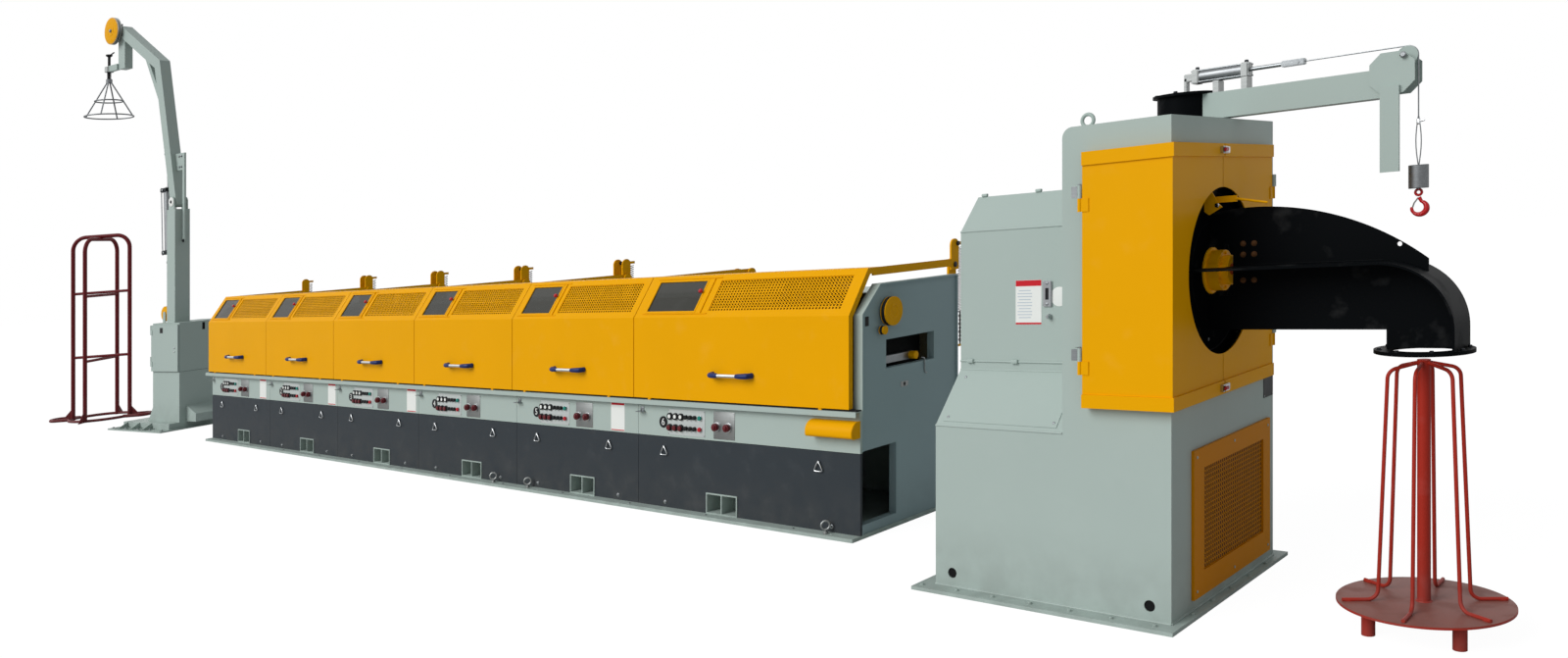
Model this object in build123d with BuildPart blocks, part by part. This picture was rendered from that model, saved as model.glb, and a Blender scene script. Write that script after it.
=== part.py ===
# Straight wire drawing line: payoff stand, six drawing blocks, coil take-up and coil stands.
# Millimetres, Z up. The origin is the middle of the block line's base plate, on the floor.
# X runs along the wire from the payoff to the take-up, and the operator stands on the -Y side.
import math
import os
from build123d import *

os.makedirs("parts", exist_ok=True)

OVERRUN = 5.0
SEAT_GAP = 0.3

# Block line
BLOCK_COUNT = 6
BLOCK_PITCH = 1325.0
LAST_PITCH = 1805.0
BASE_THICK = 20.0
BODY_DEPTH = 1000.0
BASE_REAR_MARGIN = 100.0
PANEL_SETBACK = 70.0
PANEL_THICK = 18.0
PANEL_GAP = 3.0
LOWER_PANEL_TOP = 458.0
STRIP_TOP = 660.0
LEDGE_HEIGHT = 30.0
LEDGE_REACH = 42.0
LEDGE_WALL = 5.0
LEDGE_OVERHANG = 70.0
DECK_THICK = 12.0
END_FRAME_THICK = 60.0
END_RIM_WIDTH = 10.0
END_RECESS = 12.0
END_TOP = 1360.0
END_BEND = 1205.0
END_TOP_SETBACK = 160.0
INNER_TOP = 1300.0
CROSS_FRAME_THICK = 20.0
CROSS_WINDOW_MARGIN = 130.0
REAR_SHEET = 10.0
TOP_SHEET = 6.0
TOP_COVER_FRONT = 430.0

# Fork pockets under each block
POCKET_WIDTH = 260.0
POCKET_HEIGHT = 125.0
POCKET_DEPTH = 160.0
POCKET_WALL = 8.0
POCKET_PROUD = 6.0
POCKET_PLACE = 755.0
POCKET_WALL_COUNT = 3

# Window and cut-out in the outlet end frame
WINDOW_FRONT = 312.0
WINDOW_BACK = 769.0
WINDOW_BOTTOM = 886.0
WINDOW_TOP = 1046.0
NOTCH_BACK = 404.0
NOTCH_BOTTOM = 70.0
NOTCH_TOP = 467.0

# Guide wheel, roller and die bar at the outlet
WHEEL_RADIUS = 80.0
WHEEL_WIDTH = 34.0
WHEEL_GROOVE = 9.0
WHEEL_RIM_SHARE = 0.33
WHEEL_FROM_FRONT = 323.0
WHEEL_DROP = 157.0
WHEEL_SPINDLE_RADIUS = 15.0
WHEEL_FACE_GAP = 12.0
ROLLER_RADIUS = 24.0
ROLLER_WIDTH = 30.0
ROLLER_GROOVE = 4.0
ROLLER_SETBACK = 71.0
ROLLER_DROP = 98.0
ROLLER_SPINDLE_RADIUS = 7.0
HUB_FACE_THICK = 6.0
DIE_BAR_HEIGHT = 42.0
DIE_BAR_THICK = 30.0
DIE_BAR_LAP = 45.0
DIE_BAR_LENGTH = 360.0
DIE_BAR_Z = 905.0
DIE_ROLLER_RADIUS = 22.0
DIE_ROLLER_LENGTH = 70.0

# Yellow outlet box under the ledge
OUTLET_BOX_LENGTH = 330.0
OUTLET_BOX_REACH = 75.0
OUTLET_BOX_HEIGHT = 88.0
OUTLET_BOX_BOTTOM = 548.0
OUTLET_BOX_ROUND = 45.0

# Hoods
HOOD_GAP = 6.0
HOOD_END_SETBACK = 48.0
HOOD_SHEET = 4.0
HOOD_REACH = 30.0
HOOD_BOTTOM = 702.0
HOOD_BEND = 1205.0
HOOD_RIDGE_SETBACK = 170.0
HOOD_RIDGE = 1450.0
HOOD_TOP_DEPTH = 120.0
HOOD_LIP = 30.0
HOOD_RETURN = 34.0
ARM_HEIGHT = 45.0
ARM_THICK = 12.0
ARM_INSET = 42.0
PIVOT_BEHIND = 40.0
PIVOT_Z = 1415.0
PIN_RADIUS = 12.5
PIN_CLEARANCE = 0.4
LUG_WIDTH = 80.0
LUG_TOP = 1570.0
LUG_DROP = 30.0
SPRING_EAR = 22.0
SPRING_EAR_HEIGHT = 20.0
SPRING_RADIUS = 14.0
SPRING_BEHIND = 100.0
SPRING_TOP = 1530.0
SPRING_BOTTOM = 930.0
SPRING_SHELF = 10.0
BRACKET_THICK = 14.0
BRACKET_SIDE_GAP = 6.0
BRACKET_DROP = 115.0
BRACKET_WIDTH = 78.0

# Window, perforated panel and handle on each hood, as shares of the hood's length and slope
PANE_START_SHARE = 0.055
PANE_END_SHARE = 0.30
MESH_START_SHARE = 0.37
MESH_END_SHARE = 0.955
SLOPE_LOW_SHARE = 0.15
SLOPE_HIGH_SHARE = 0.86
PANE_THICK = 4.0
HANDLE_SPAN = 330.0
HANDLE_RADIUS = 13.0
HANDLE_REACH = 46.0
HANDLE_FOOT = 40.0
HANDLE_Z = 865.0
HANDLE_PLACE_SHARE = 0.50

# Drawing drums on the deck
DRUM_RADIUS = 270.0
DRUM_FOOT_RADIUS = 315.0
DRUM_FOOT_HEIGHT = 28.0
DRUM_CONE_HEIGHT = 60.0
DRUM_HEIGHT = 360.0
DRUM_CAP_RADIUS = 120.0
DRUM_CAP_HEIGHT = 40.0
DRUM_REAR_GAP = 55.0

# Coil take-up housing, placed from the block line's outlet end
TAKEUP_GAP = 815.0
TAKEUP_FRONT = -955.0
TAKEUP_DEPTH = 1105.0
TAKEUP_LENGTH = 1115.0
COLUMN_LENGTH = 475.0
COLUMN_TOP = 2025.0
COLUMN_ROUND = 45.0
LOWER_BOX_TOP = 742.0
SLOPE_TOP = 970.0
SLOPE_RUN = 205.0
UPPER_BOX_SHOULDER = 1615.0
UPPER_BOX_TOP = 1775.0
UPPER_CHAMFER_RUN = 150.0
FLANGE_REACH = 80.0
FLANGE_THICK = 16.0
TIE_HOLE_RADIUS = 23.0
TIE_HOLE_DEPTH = 60.0
TIE_HOLE_Z = 78.0
TIE_HOLE_INSET = 90.0

# Winding chamber, doors and hub
CHAMBER_BOTTOM = 900.0
CHAMBER_TOP = 1880.0
CHAMBER_LENGTH = 330.0
CHAMBER_REAR_WALL = 120.0
HUB_Z = 1380.0
HUB_FROM_FRONT = 455.0
DISH_RADIUS = 400.0
DISH_THICK = 12.0
DISH_INSET = 25.0
BLOCK_RADIUS = 300.0
HUB_RADIUS = 85.0
HUB_LENGTH = 60.0
HUB_DISC_RADIUS = 62.0
HUB_DISC_LENGTH = 28.0
DOOR_SHEET = 5.0
DOOR_PROUD_FRONT = 45.0
DOOR_PROUD_SIDE = 25.0
DOOR_LENGTH = 385.0
DOOR_REAR_MARGIN = 80.0
DOOR_BOTTOM = 862.0
DOOR_TOP = 1912.0
DOOR_HOLE_RADIUS = 350.0
DOOR_SPLIT_GAP = 6.0
DOOR_BACK_GAP = 5.0
DOOR_RIM_HEIGHT = 55.0
DOOR_RIM_PROUD = 8.0
HINGE_RADIUS = 9.0
HINGE_GAP = 2.0
HINGE_SHEET = 4.0
HINGE_HEIGHT = 110.0
HINGE_LEAF = 30.0
HINGE_FROM_END = 190.0
LATCH_WIDTH = 46.0
LATCH_HEIGHT = 26.0
LATCH_THICK = 14.0

# Yellow guide levers on the winding dish
LEVER_WIDTH = 26.0
LEVER_THICK = 8.0
LEVER_LENGTH = 130.0
LEVER_RADIUS = 5.0
LEVER_Z = 1690.0
LEVER_SHIFT = 60.0

# Vent grille on the take-up's side
GRILLE_FROM_FRONT = 190.0
GRILLE_REAR_MARGIN = 69.0
GRILLE_BOTTOM = 60.0
GRILLE_HEIGHT = 605.0
GRILLE_THICK = 12.0
GRILLE_BORDER_SIDE = 100.0
GRILLE_BORDER_END = 84.0
GRILLE_SHEET = 3.0
VENT_POCKET_DEPTH = 90.0

# Curved outlet trunk
TRUNK_SHEET = 8.0
TRUNK_TOP_Z = 1622.0
TRUNK_MID_TOP_RUN = 585.0
TRUNK_MID_TOP_Z = 1548.0
TRUNK_SHOULDER_RUN = 745.0
TRUNK_SHOULDER_Z = 1428.0
TRUNK_RIDGE_Z = 1396.0
TRUNK_BEND_RADIUS = 262.0
TRUNK_END_RUN = 962.0
TRUNK_END_Z = 1060.0
TRUNK_BELLY_Z = 1130.0
TRUNK_THROAT_RUN = 680.0
TRUNK_ROOT_HALF = 250.0
TRUNK_TIP_HALF = 120.0
TRUNK_HUB_NOTCH = 108.0
TRUNK_HOLE_RADIUS = 9.0
TRUNK_HOLE_RUN = 726.0
TRUNK_HOLE_Z = 1457.0
TRUNK_RING_RADIUS = 170.0
TRUNK_RING_BORE = 118.0
TRUNK_RING_THICK = 14.0

# Jib crane on top of the take-up
JIB_FROM_RIGHT = 250.0
JIB_FROM_FRONT = 705.0
JIB_PIN_RADIUS = 50.0
JIB_PIN_HEIGHT = 100.0
JIB_DRUM_RADIUS = 116.0
JIB_DRUM_HEIGHT = 140.0
JIB_FLANGE_RADIUS = 136.0
JIB_FLANGE_THICK = 12.0
BEAM_LENGTH = 860.0
BEAM_WIDTH = 100.0
BEAM_HEIGHT = 115.0
BEAM_LIFT = 12.0
HEAD_LENGTH = 165.0
HEAD_HEIGHT = 165.0
HEAD_CHAMFER = 42.0
HEAD_PLATE = 8.0
HEAD_OVERLAP = 70.0
LEG_WIDTH = 70.0
LEG_THICK = 14.0
LEG_DROP = 300.0
LEG_LAP = 28.0
HOIST_SHEAVE_RADIUS = 36.0
HOIST_SHEAVE_WIDTH = 16.0
HOIST_PIN_RADIUS = 8.0
HOIST_ROPE_RADIUS = 3.0
CYLINDER_LIFT = 84.0
CYLINDER_RADIUS = 28.0
CYLINDER_CAP = 64.0
CYLINDER_CAP_LENGTH = 32.0
CYLINDER_START_REACH = 45.0
CYLINDER_LENGTH = 250.0
CYLINDER_ROD_RADIUS = 9.0
CYLINDER_ROD_LENGTH = 140.0
CLEVIS_LENGTH = 90.0
CLEVIS_WIDTH = 34.0
CLEVIS_HEIGHT = 26.0
TAIL_LENGTH = 40.0
WEIGHT_RADIUS = 36.0
WEIGHT_HEIGHT = 92.0
WEIGHT_TOP = 1757.0
HOOK_BOTTOM = 1545.0
HOOK_RADIUS = 34.0
HOOK_WIRE_RADIUS = 9.0
HOOK_EYE_RADIUS = 17.0
LIFTING_EYE_RADIUS = 26.0
LIFTING_EYE_WIRE = 8.0

# Coil stand under the trunk
STAND_DISC_RADIUS = 300.0
STAND_DISC_THICK = 8.0
STAND_DISC_Z = 100.0
STAND_FOOT_RADIUS = 24.0
STAND_FOOT_COUNT = 4
STAND_FOOT_PLACE = 215.0
STAND_FOOT_ANGLE = 45.0
STAND_POST_RADIUS = 23.0
STAND_POST_TOP = 1018.0
STAND_ROD_COUNT = 6
STAND_ROD_RADIUS = 7.0
STAND_SHOULDER_REACH = 125.0
STAND_SHOULDER_DROP = 30.0
STAND_HEEL_REACH = 160.0
STAND_TOE_REACH = 285.0
STAND_BEND = 40.0

# Payoff stand, built in its own turned frame
PAYOFF_GAP = 1600.0
PAYOFF_FROM_FRONT = 331.0
PAYOFF_TURN = 8.0
FOOT_LEFT = 820.0
FOOT_RIGHT = 320.0
FOOT_FRONT = 375.0
FOOT_BACK = 450.0
FOOT_SHEET = 16.0
FOOT_BOX_TOP = 80.0
FOOT_STEP = 120.0
FOOT_BOX_INSET = 40.0
TOE_COUNT = 3
TOE_THICK = 12.0
TOE_SPACING = 260.0
TOE_START = 90.0
CABINET_HALF = 280.0
CABINET_FRONT = 140.0
CABINET_BACK = 420.0
CABINET_TOP = 1185.0
CABINET_WALL = 15.0
CABINET_DOOR_BOTTOM = 645.0
CABINET_DOOR_TOP = 1165.0
CABINET_DOOR_THICK = 16.0
CABINET_DOOR_GAP = 5.0
CABINET_HINGE_RISE = 11.0
SIDE_BOX_LENGTH = 200.0
SIDE_BOX_HEIGHT = 180.0
SIDE_BOX_DEPTH = 300.0
SIDE_BOX_SETBACK = 75.0
CABINET_GUSSET_HEIGHT = 190.0
CABINET_GUSSET_RUN = 120.0
POST_SIZE = 170.0
POST_TOP = 2460.0
PIVOT_PLATE = 14.0
PIVOT_PLATE_RADIUS = 58.0
PIVOT_SIDE_GAP = 6.0
ARM_PIVOT_Z = 2545.0
ARM_PIN_RADIUS = 20.0
PAYOFF_ARM = 120.0
ELBOW_REACH = 345.0
ELBOW_Z = 4150.0
HEAD_REACH = 1175.0
HEAD_Z = 4665.0
BRACE_LOW_Z = 3580.0
BRACE_REACH = 700.0
BRACE_THICK = 14.0
BRACE_WIDTH = 50.0
TAIL_PLATE_TOP = 3090.0
TAIL_PLATE_BOTTOM = 2900.0
TAIL_BAR_OUTER = 145.0
TAIL_BAR_WIDTH = 42.0
TAIL_BAR_END = 2100.0
TAIL_THICK = 20.0
HANGER_OUTER = 1250.0
HANGER_INNER = 1100.0
HANGER_BOTTOM = 4215.0
HANGER_HALF = 45.0
HANGER_ARM_HEIGHT = 70.0
HEAD_SHEAVE_REACH = 1275.0
HEAD_SHEAVE_Z = 4672.0
HEAD_SHEAVE_RADIUS = 158.0
HEAD_SHEAVE_WIDTH = 44.0
HEAD_SHEAVE_GROOVE = 14.0
HEAD_SHEAVE_GAP = 12.0
HEAD_SHEAVE_PIN = 14.0
CONE_REACH = 1480.0
CONE_OFFSET = 40.0
COLLAR_RADIUS = 46.0
COLLAR_HEIGHT = 62.0
GUIDE_RADIUS = 34.0
GUIDE_TOP = 4425.0
GUIDE_STEM_RADIUS = 14.0
CONE_SPRING_RADIUS = 24.0
CONE_SPRING_BOTTOM = 4130.0
CONE_HUB_RADIUS = 34.0
CONE_HUB_HEIGHT = 45.0
CONE_ROD_COUNT = 4
CONE_ROD_RADIUS = 8.0
CONE_TOP_REACH = 22.0
CONE_MID_Z = 3868.0
CONE_BOTTOM_Z = 3685.0
CONE_BOTTOM_RADIUS = 258.0
CABINET_SHEAVE_REACH = 250.0
CABINET_SHEAVE_RADIUS = 86.0
CABINET_SHEAVE_WIDTH = 36.0
CABINET_SHEAVE_GROOVE = 10.0
CABINET_SHEAVE_LIFT = 98.0
CABINET_SHEAVE_PIN = 9.0
CHEEK_THICK = 8.0
CHEEK_GAP = 5.0
CHEEK_RADIUS = 26.0
TILT_BARREL_RADIUS = 52.0
TILT_CAP = 130.0
TILT_CAP_LENGTH = 48.0
TILT_BARREL_BOTTOM = 90.0
TILT_BARREL_TOP = 850.0
TILT_LOW_REACH = 178.0
TILT_LOW_Z = 1870.0
TILT_HIGH_REACH = 225.0
TILT_HIGH_Z = 3110.0
TILT_PIN_RADIUS = 12.0
TILT_EYE_RADIUS = 26.0
TILT_EYE_THICK = 26.0
TILT_EYE_PLAY = 4.0
TILT_ROD_RADIUS = 13.0
TILT_LUG_THICK = 10.0
TILT_LUG_GAP = 3.0

# Tube coil rack beside the payoff stand
RACK_GAP = 3760.0
RACK_FROM_FRONT = 220.0
RACK_TURN = 43.0
RACK_HALF = 350.0
RACK_TUBE_RADIUS = 24.0
RACK_TOP = 2300.0
RACK_BEND = 160.0
RACK_RUNG_LOW = 779.0
RACK_RUNG_HIGH = 1576.0
RACK_RUNG_RADIUS = 17.0
RACK_CROSS_DROP = 36.0
RACK_FOOT_REACH = 600.0
RACK_FOOT_HALF = 110.0
RACK_FOOT_BEND = 90.0
RACK_FOOT_RADIUS = 20.0
RACK_GUSSET = 130.0
RACK_GUSSET_THICK = 10.0

# Halfway between two of a row of equal steps
HALF_STEP_SHARE = 0.5

# Places worked out from the sizes above
line_depth = BODY_DEPTH + BASE_REAR_MARGIN
LINE_LENGTH = (BLOCK_COUNT - 1) * BLOCK_PITCH + LAST_PITCH
line_left = -LINE_LENGTH / 2
line_right = LINE_LENGTH / 2
line_front = -line_depth / 2
panel_front = line_front + PANEL_SETBACK
frame_front = panel_front + PANEL_THICK
frame_back = line_front + BODY_DEPTH
rear_inner = frame_back - REAR_SHEET
drum_y = rear_inner - DRUM_REAR_GAP - DRUM_FOOT_RADIUS
deck_top = STRIP_TOP + LEDGE_HEIGHT
hood_front = line_front + HOOD_REACH
hood_ridge = hood_front + HOOD_RIDGE_SETBACK
slope_rise = HOOD_RIDGE - HOOD_BEND
slope_length = math.hypot(HOOD_RIDGE_SETBACK, slope_rise)
slope_angle = math.atan2(slope_rise, HOOD_RIDGE_SETBACK)
pivot_y = frame_back + PIVOT_BEHIND
spring_y = frame_back + SPRING_BEHIND
seams = [line_left + number * BLOCK_PITCH for number in range(BLOCK_COUNT)]
seams.append(line_right)


def block(x_range, y_range, z_range, mode=Mode.ADD):
    """Rectangular block between two corners, in the part's own frame."""
    x_size = x_range[1] - x_range[0]
    y_size = y_range[1] - y_range[0]
    z_size = z_range[1] - z_range[0]
    middle = (x_range[0] + x_size / 2, y_range[0] + y_size / 2, z_range[0] + z_size / 2)
    with Locations(middle):
        Box(x_size, y_size, z_size, mode=mode)


def plate_across(points, x_start, thickness, mode=Mode.ADD):
    """Plate with a (y, z) outline that stands across the line."""
    with BuildSketch(Plane.YZ.offset(x_start)) as outline:
        with BuildLine():
            Polyline(*points, close=True)
        make_face()
    extrude(outline.sketch, amount=thickness, mode=mode)


def plate_along(points, y_start, thickness, plane=Plane.XY, mode=Mode.ADD):
    """Plate with an (x, z) outline that stands along the line, from y_start towards +Y."""
    base = Plane(origin=plane.from_local_coords((0, y_start, 0)), x_dir=plane.x_dir, z_dir=-plane.y_dir)
    with BuildSketch(base) as outline:
        with BuildLine():
            Polyline(*points, close=True)
        make_face()
    extrude(outline.sketch, amount=-thickness, mode=mode)


def round_x(radius, x_range, y, z, mode=Mode.ADD):
    """Cylinder along X."""
    length = x_range[1] - x_range[0]
    with Locations((x_range[0] + length / 2, y, z)):
        Cylinder(radius, length, rotation=(0, 90, 0), mode=mode)


def round_y(radius, y_range, x, z, mode=Mode.ADD):
    """Cylinder along Y."""
    length = y_range[1] - y_range[0]
    with Locations((x, y_range[0] + length / 2, z)):
        Cylinder(radius, length, rotation=(90, 0, 0), mode=mode)


def round_z(radius, z_range, x, y, mode=Mode.ADD):
    """Upright cylinder."""
    length = z_range[1] - z_range[0]
    with Locations((x, y, z_range[0] + length / 2)):
        Cylinder(radius, length, mode=mode)


def rod(start, end, radius, plane=Plane.XY, mode=Mode.ADD):
    """Round rod between two points given in a plane's own frame."""
    first = plane.from_local_coords(Vector(*start))
    last = plane.from_local_coords(Vector(*end))
    run = last - first
    with BuildSketch(Plane(origin=first, z_dir=run)) as section:
        Circle(radius)
    extrude(section.sketch, amount=run.length, mode=mode)


def finish(piece, name):
    """Label a finished piece and write its file."""
    piece.label = name
    export_step(piece, f"parts/{name}.step")


# Base plate and floor panels
with BuildPart() as base_plate:
    block((line_left, line_right), (line_front, -line_front), (0, BASE_THICK))
finish(base_plate.part, "base_plate")


def panel_row(bottom, top):
    """One row of front panels, one for each block."""
    for start, end in zip(seams[:-1], seams[1:]):
        block((start + PANEL_GAP / 2, end - PANEL_GAP / 2), (panel_front, frame_front), (bottom, top))


def pocket_centres():
    return [start + POCKET_PLACE for start in seams[:-1]]


with BuildPart() as lower_panels:
    panel_row(BASE_THICK, LOWER_PANEL_TOP)
    for centre in pocket_centres():
        pocket_range = (centre - POCKET_WIDTH / 2, centre + POCKET_WIDTH / 2)
        cut_depth = (panel_front - OVERRUN, frame_front + OVERRUN)
        block(pocket_range, cut_depth, (BASE_THICK - OVERRUN, BASE_THICK + POCKET_HEIGHT), Mode.SUBTRACT)
finish(lower_panels.part, "lower_panels")

with BuildPart() as control_strips:
    panel_row(LOWER_PANEL_TOP + PANEL_GAP, STRIP_TOP)
finish(control_strips.part, "control_strips")

with BuildPart() as fork_pockets:
    cell_width = (POCKET_WIDTH - POCKET_WALL_COUNT * POCKET_WALL) / 2
    for centre in pocket_centres():
        pocket_range = (centre - POCKET_WIDTH / 2, centre + POCKET_WIDTH / 2)
        pocket_front = panel_front - POCKET_PROUD
        pocket_depth = (pocket_front, pocket_front + POCKET_DEPTH)
        block(pocket_range, pocket_depth, (BASE_THICK, BASE_THICK + POCKET_HEIGHT))
        cell_depth = (pocket_front - OVERRUN, pocket_front + POCKET_DEPTH + OVERRUN)
        cell_height = (BASE_THICK + POCKET_WALL, BASE_THICK + POCKET_HEIGHT - POCKET_WALL)
        for cell_start in (pocket_range[0] + POCKET_WALL, pocket_range[1] - POCKET_WALL - cell_width):
            block((cell_start, cell_start + cell_width), cell_depth, cell_height, Mode.SUBTRACT)
finish(fork_pockets.part, "fork_pockets")

# Ledge channel along the front, open underneath
with BuildPart() as ledge_rail:
    ledge_range = (line_left - LEDGE_OVERHANG, line_right)
    ledge_front = panel_front - LEDGE_REACH
    block(ledge_range, (ledge_front, frame_front), (STRIP_TOP, deck_top))
    groove = (ledge_front + LEDGE_WALL, panel_front - LEDGE_WALL)
    groove_length = (ledge_range[0] - OVERRUN, ledge_range[1] + OVERRUN)
    block(groove_length, groove, (STRIP_TOP - OVERRUN, deck_top - LEDGE_WALL), Mode.SUBTRACT)
finish(ledge_rail.part, "ledge_rail")

# Cross frames, deck, rear wall and top cover
inner_left = line_left + END_FRAME_THICK
inner_right = line_right - END_FRAME_THICK
cross_top = INNER_TOP - TOP_SHEET
cross_bend = END_BEND - (END_TOP - cross_top)
cross_outline = [
    (frame_front, BASE_THICK),
    (frame_front, cross_bend),
    (frame_front + END_TOP_SETBACK, cross_top),
    (rear_inner, cross_top),
    (rear_inner, BASE_THICK),
]
with BuildPart() as cross_frames:
    for seam in seams[1:-1]:
        start = seam - CROSS_FRAME_THICK / 2
        plate_across(cross_outline, start, CROSS_FRAME_THICK)
        cut_length = (start - OVERRUN, start + CROSS_FRAME_THICK + OVERRUN)
        cut_depth = (frame_front + CROSS_WINDOW_MARGIN, rear_inner - CROSS_WINDOW_MARGIN)
        lower_cut = (BASE_THICK + CROSS_WINDOW_MARGIN, STRIP_TOP - CROSS_WINDOW_MARGIN)
        upper_cut = (deck_top + CROSS_WINDOW_MARGIN, cross_top - CROSS_WINDOW_MARGIN)
        block(cut_length, cut_depth, lower_cut, Mode.SUBTRACT)
        block(cut_length, cut_depth, upper_cut, Mode.SUBTRACT)
finish(cross_frames.part, "cross_frames")

bay_starts = [inner_left] + [seam + CROSS_FRAME_THICK / 2 for seam in seams[1:-1]]
bay_ends = [seam - CROSS_FRAME_THICK / 2 for seam in seams[1:-1]] + [inner_right]
with BuildPart() as deck_plates:
    for start, end in zip(bay_starts, bay_ends):
        block((start, end), (frame_front, rear_inner), (deck_top - DECK_THICK, deck_top))
finish(deck_plates.part, "deck_plates")

with BuildPart() as rear_wall:
    block((inner_left, inner_right), (rear_inner, frame_back), (BASE_THICK, INNER_TOP))
finish(rear_wall.part, "rear_wall")

with BuildPart() as top_cover:
    block((inner_left, inner_right), (line_front + TOP_COVER_FRONT, rear_inner), (cross_top, INNER_TOP))
finish(top_cover.part, "top_cover")

# End frames with a raised rim; the outlet one has a window and a cut-out
end_outline = [
    (frame_front, BASE_THICK),
    (frame_front, END_BEND),
    (frame_front + END_TOP_SETBACK, END_TOP),
    (frame_back, END_TOP),
    (frame_back, BASE_THICK),
]


def recess_outline():
    """The end outline set in by the rim's width, open at the bottom."""
    bevel = math.atan2(END_TOP - END_BEND, END_TOP_SETBACK)
    bend_shift = END_RIM_WIDTH * math.tan((math.pi / 2 - bevel) / 2)
    top_shift = END_RIM_WIDTH * math.tan(bevel / 2)
    return [
        (frame_front + END_RIM_WIDTH, BASE_THICK - OVERRUN),
        (frame_front + END_RIM_WIDTH, END_BEND - bend_shift),
        (frame_front + END_TOP_SETBACK + top_shift, END_TOP - END_RIM_WIDTH),
        (frame_back - END_RIM_WIDTH, END_TOP - END_RIM_WIDTH),
        (frame_back - END_RIM_WIDTH, BASE_THICK - OVERRUN),
    ]


end_face = line_right - END_RECESS
window_front = line_front + WINDOW_FRONT
window_back = line_front + WINDOW_BACK
wheel_y = line_front + WHEEL_FROM_FRONT
wheel_z = END_TOP - WHEEL_DROP
roller_y = wheel_y - ROLLER_SETBACK
roller_z = wheel_z - ROLLER_DROP
with BuildPart() as right_end_frame:
    plate_across(end_outline, inner_right, END_FRAME_THICK)
    plate_across(recess_outline(), end_face, END_RECESS + OVERRUN, Mode.SUBTRACT)
    end_cut = (inner_right - OVERRUN, line_right + OVERRUN)
    block(end_cut, (window_front, window_back), (WINDOW_BOTTOM, WINDOW_TOP), Mode.SUBTRACT)
    notch_depth = (frame_front - OVERRUN, line_front + NOTCH_BACK)
    block(end_cut, notch_depth, (NOTCH_BOTTOM, NOTCH_TOP), Mode.SUBTRACT)
    wheel_spindle_end = end_face + WHEEL_FACE_GAP + WHEEL_WIDTH - HUB_FACE_THICK - SEAT_GAP
    round_x(WHEEL_SPINDLE_RADIUS, (end_face, wheel_spindle_end), wheel_y, wheel_z)
    roller_spindle_end = end_face + WHEEL_FACE_GAP + ROLLER_WIDTH - HUB_FACE_THICK - SEAT_GAP
    round_x(ROLLER_SPINDLE_RADIUS, (end_face, roller_spindle_end), roller_y, roller_z)
finish(right_end_frame.part, "right_end_frame")

with BuildPart() as left_end_frame:
    plate_across(end_outline, line_left, END_FRAME_THICK)
    plate_across(recess_outline(), line_left - OVERRUN, END_RECESS + OVERRUN, Mode.SUBTRACT)
    inlet_cut = (line_left - OVERRUN, inner_left + OVERRUN)
    block(inlet_cut, (window_front, window_back), (WINDOW_BOTTOM, WINDOW_TOP), Mode.SUBTRACT)
finish(left_end_frame.part, "left_end_frame")


def grooved_wheel(axis_plane, radius, width, groove, bore, face_thick):
    """Wheel with a rope groove, a hub face and a blind bore from its back."""
    half = width / 2
    base = Plane(origin=axis_plane.origin, x_dir=axis_plane.x_dir, z_dir=-axis_plane.y_dir)
    with BuildSketch(base) as section:
        with BuildLine():
            Polyline(
                (bore, 0),
                (radius, 0),
                (radius, half * WHEEL_RIM_SHARE),
                (radius - groove, half),
                (radius, width - half * WHEEL_RIM_SHARE),
                (radius, width),
                (0, width),
                (0, width - face_thick),
                (bore, width - face_thick),
                close=True,
            )
        make_face()
    revolve(section.sketch, axis=Axis(axis_plane.origin, axis_plane.z_dir))


def through_wheel(plane, centre, radius, width, groove, bore):
    """Grooved sheave with a through bore, its axis along the plane's y."""
    half = width / 2
    origin = plane.from_local_coords(Vector(*centre))
    with BuildSketch(Plane(origin=origin, x_dir=plane.x_dir, z_dir=plane.z_dir)) as section:
        with BuildLine():
            Polyline(
                (bore, -half),
                (radius, -half),
                (radius, -half / 2),
                (radius - groove, 0),
                (radius, half / 2),
                (radius, half),
                (bore, half),
                close=True,
            )
        make_face()
    revolve(section.sketch, axis=Axis(origin, plane.y_dir))


# Outlet guide wheel and roller, each turning on a spindle of the end frame
with BuildPart() as outlet_wheel:
    wheel_plane = Plane(origin=(end_face + WHEEL_FACE_GAP, wheel_y, wheel_z), x_dir=(0, 0, 1), z_dir=(1, 0, 0))
    wheel_bore = WHEEL_SPINDLE_RADIUS + PIN_CLEARANCE
    grooved_wheel(wheel_plane, WHEEL_RADIUS, WHEEL_WIDTH, WHEEL_GROOVE, wheel_bore, HUB_FACE_THICK)
finish(outlet_wheel.part, "outlet_wheel")

with BuildPart() as outlet_roller:
    roller_plane = Plane(origin=(end_face + WHEEL_FACE_GAP, roller_y, roller_z), x_dir=(0, 0, 1), z_dir=(1, 0, 0))
    roller_bore = ROLLER_SPINDLE_RADIUS + PIN_CLEARANCE
    grooved_wheel(roller_plane, ROLLER_RADIUS, ROLLER_WIDTH, ROLLER_GROOVE, roller_bore, HUB_FACE_THICK)
finish(outlet_roller.part, "outlet_roller")

# Die bar behind the end window, with the outlet roller that points out of it
with BuildPart() as die_bar:
    bar_start = window_front - DIE_BAR_LAP
    bar_range = (inner_right - DIE_BAR_THICK, inner_right)
    block(bar_range, (bar_start, bar_start + DIE_BAR_LENGTH), (DIE_BAR_Z, DIE_BAR_Z + DIE_BAR_HEIGHT))
    tip_y = bar_start + DIE_BAR_LENGTH - DIE_ROLLER_RADIUS
    tip_range = (inner_right - DIE_BAR_THICK, inner_right + DIE_ROLLER_LENGTH - DIE_BAR_THICK)
    round_x(DIE_ROLLER_RADIUS, tip_range, tip_y, DIE_BAR_Z + DIE_BAR_HEIGHT / 2)
finish(die_bar.part, "die_bar")

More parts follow.
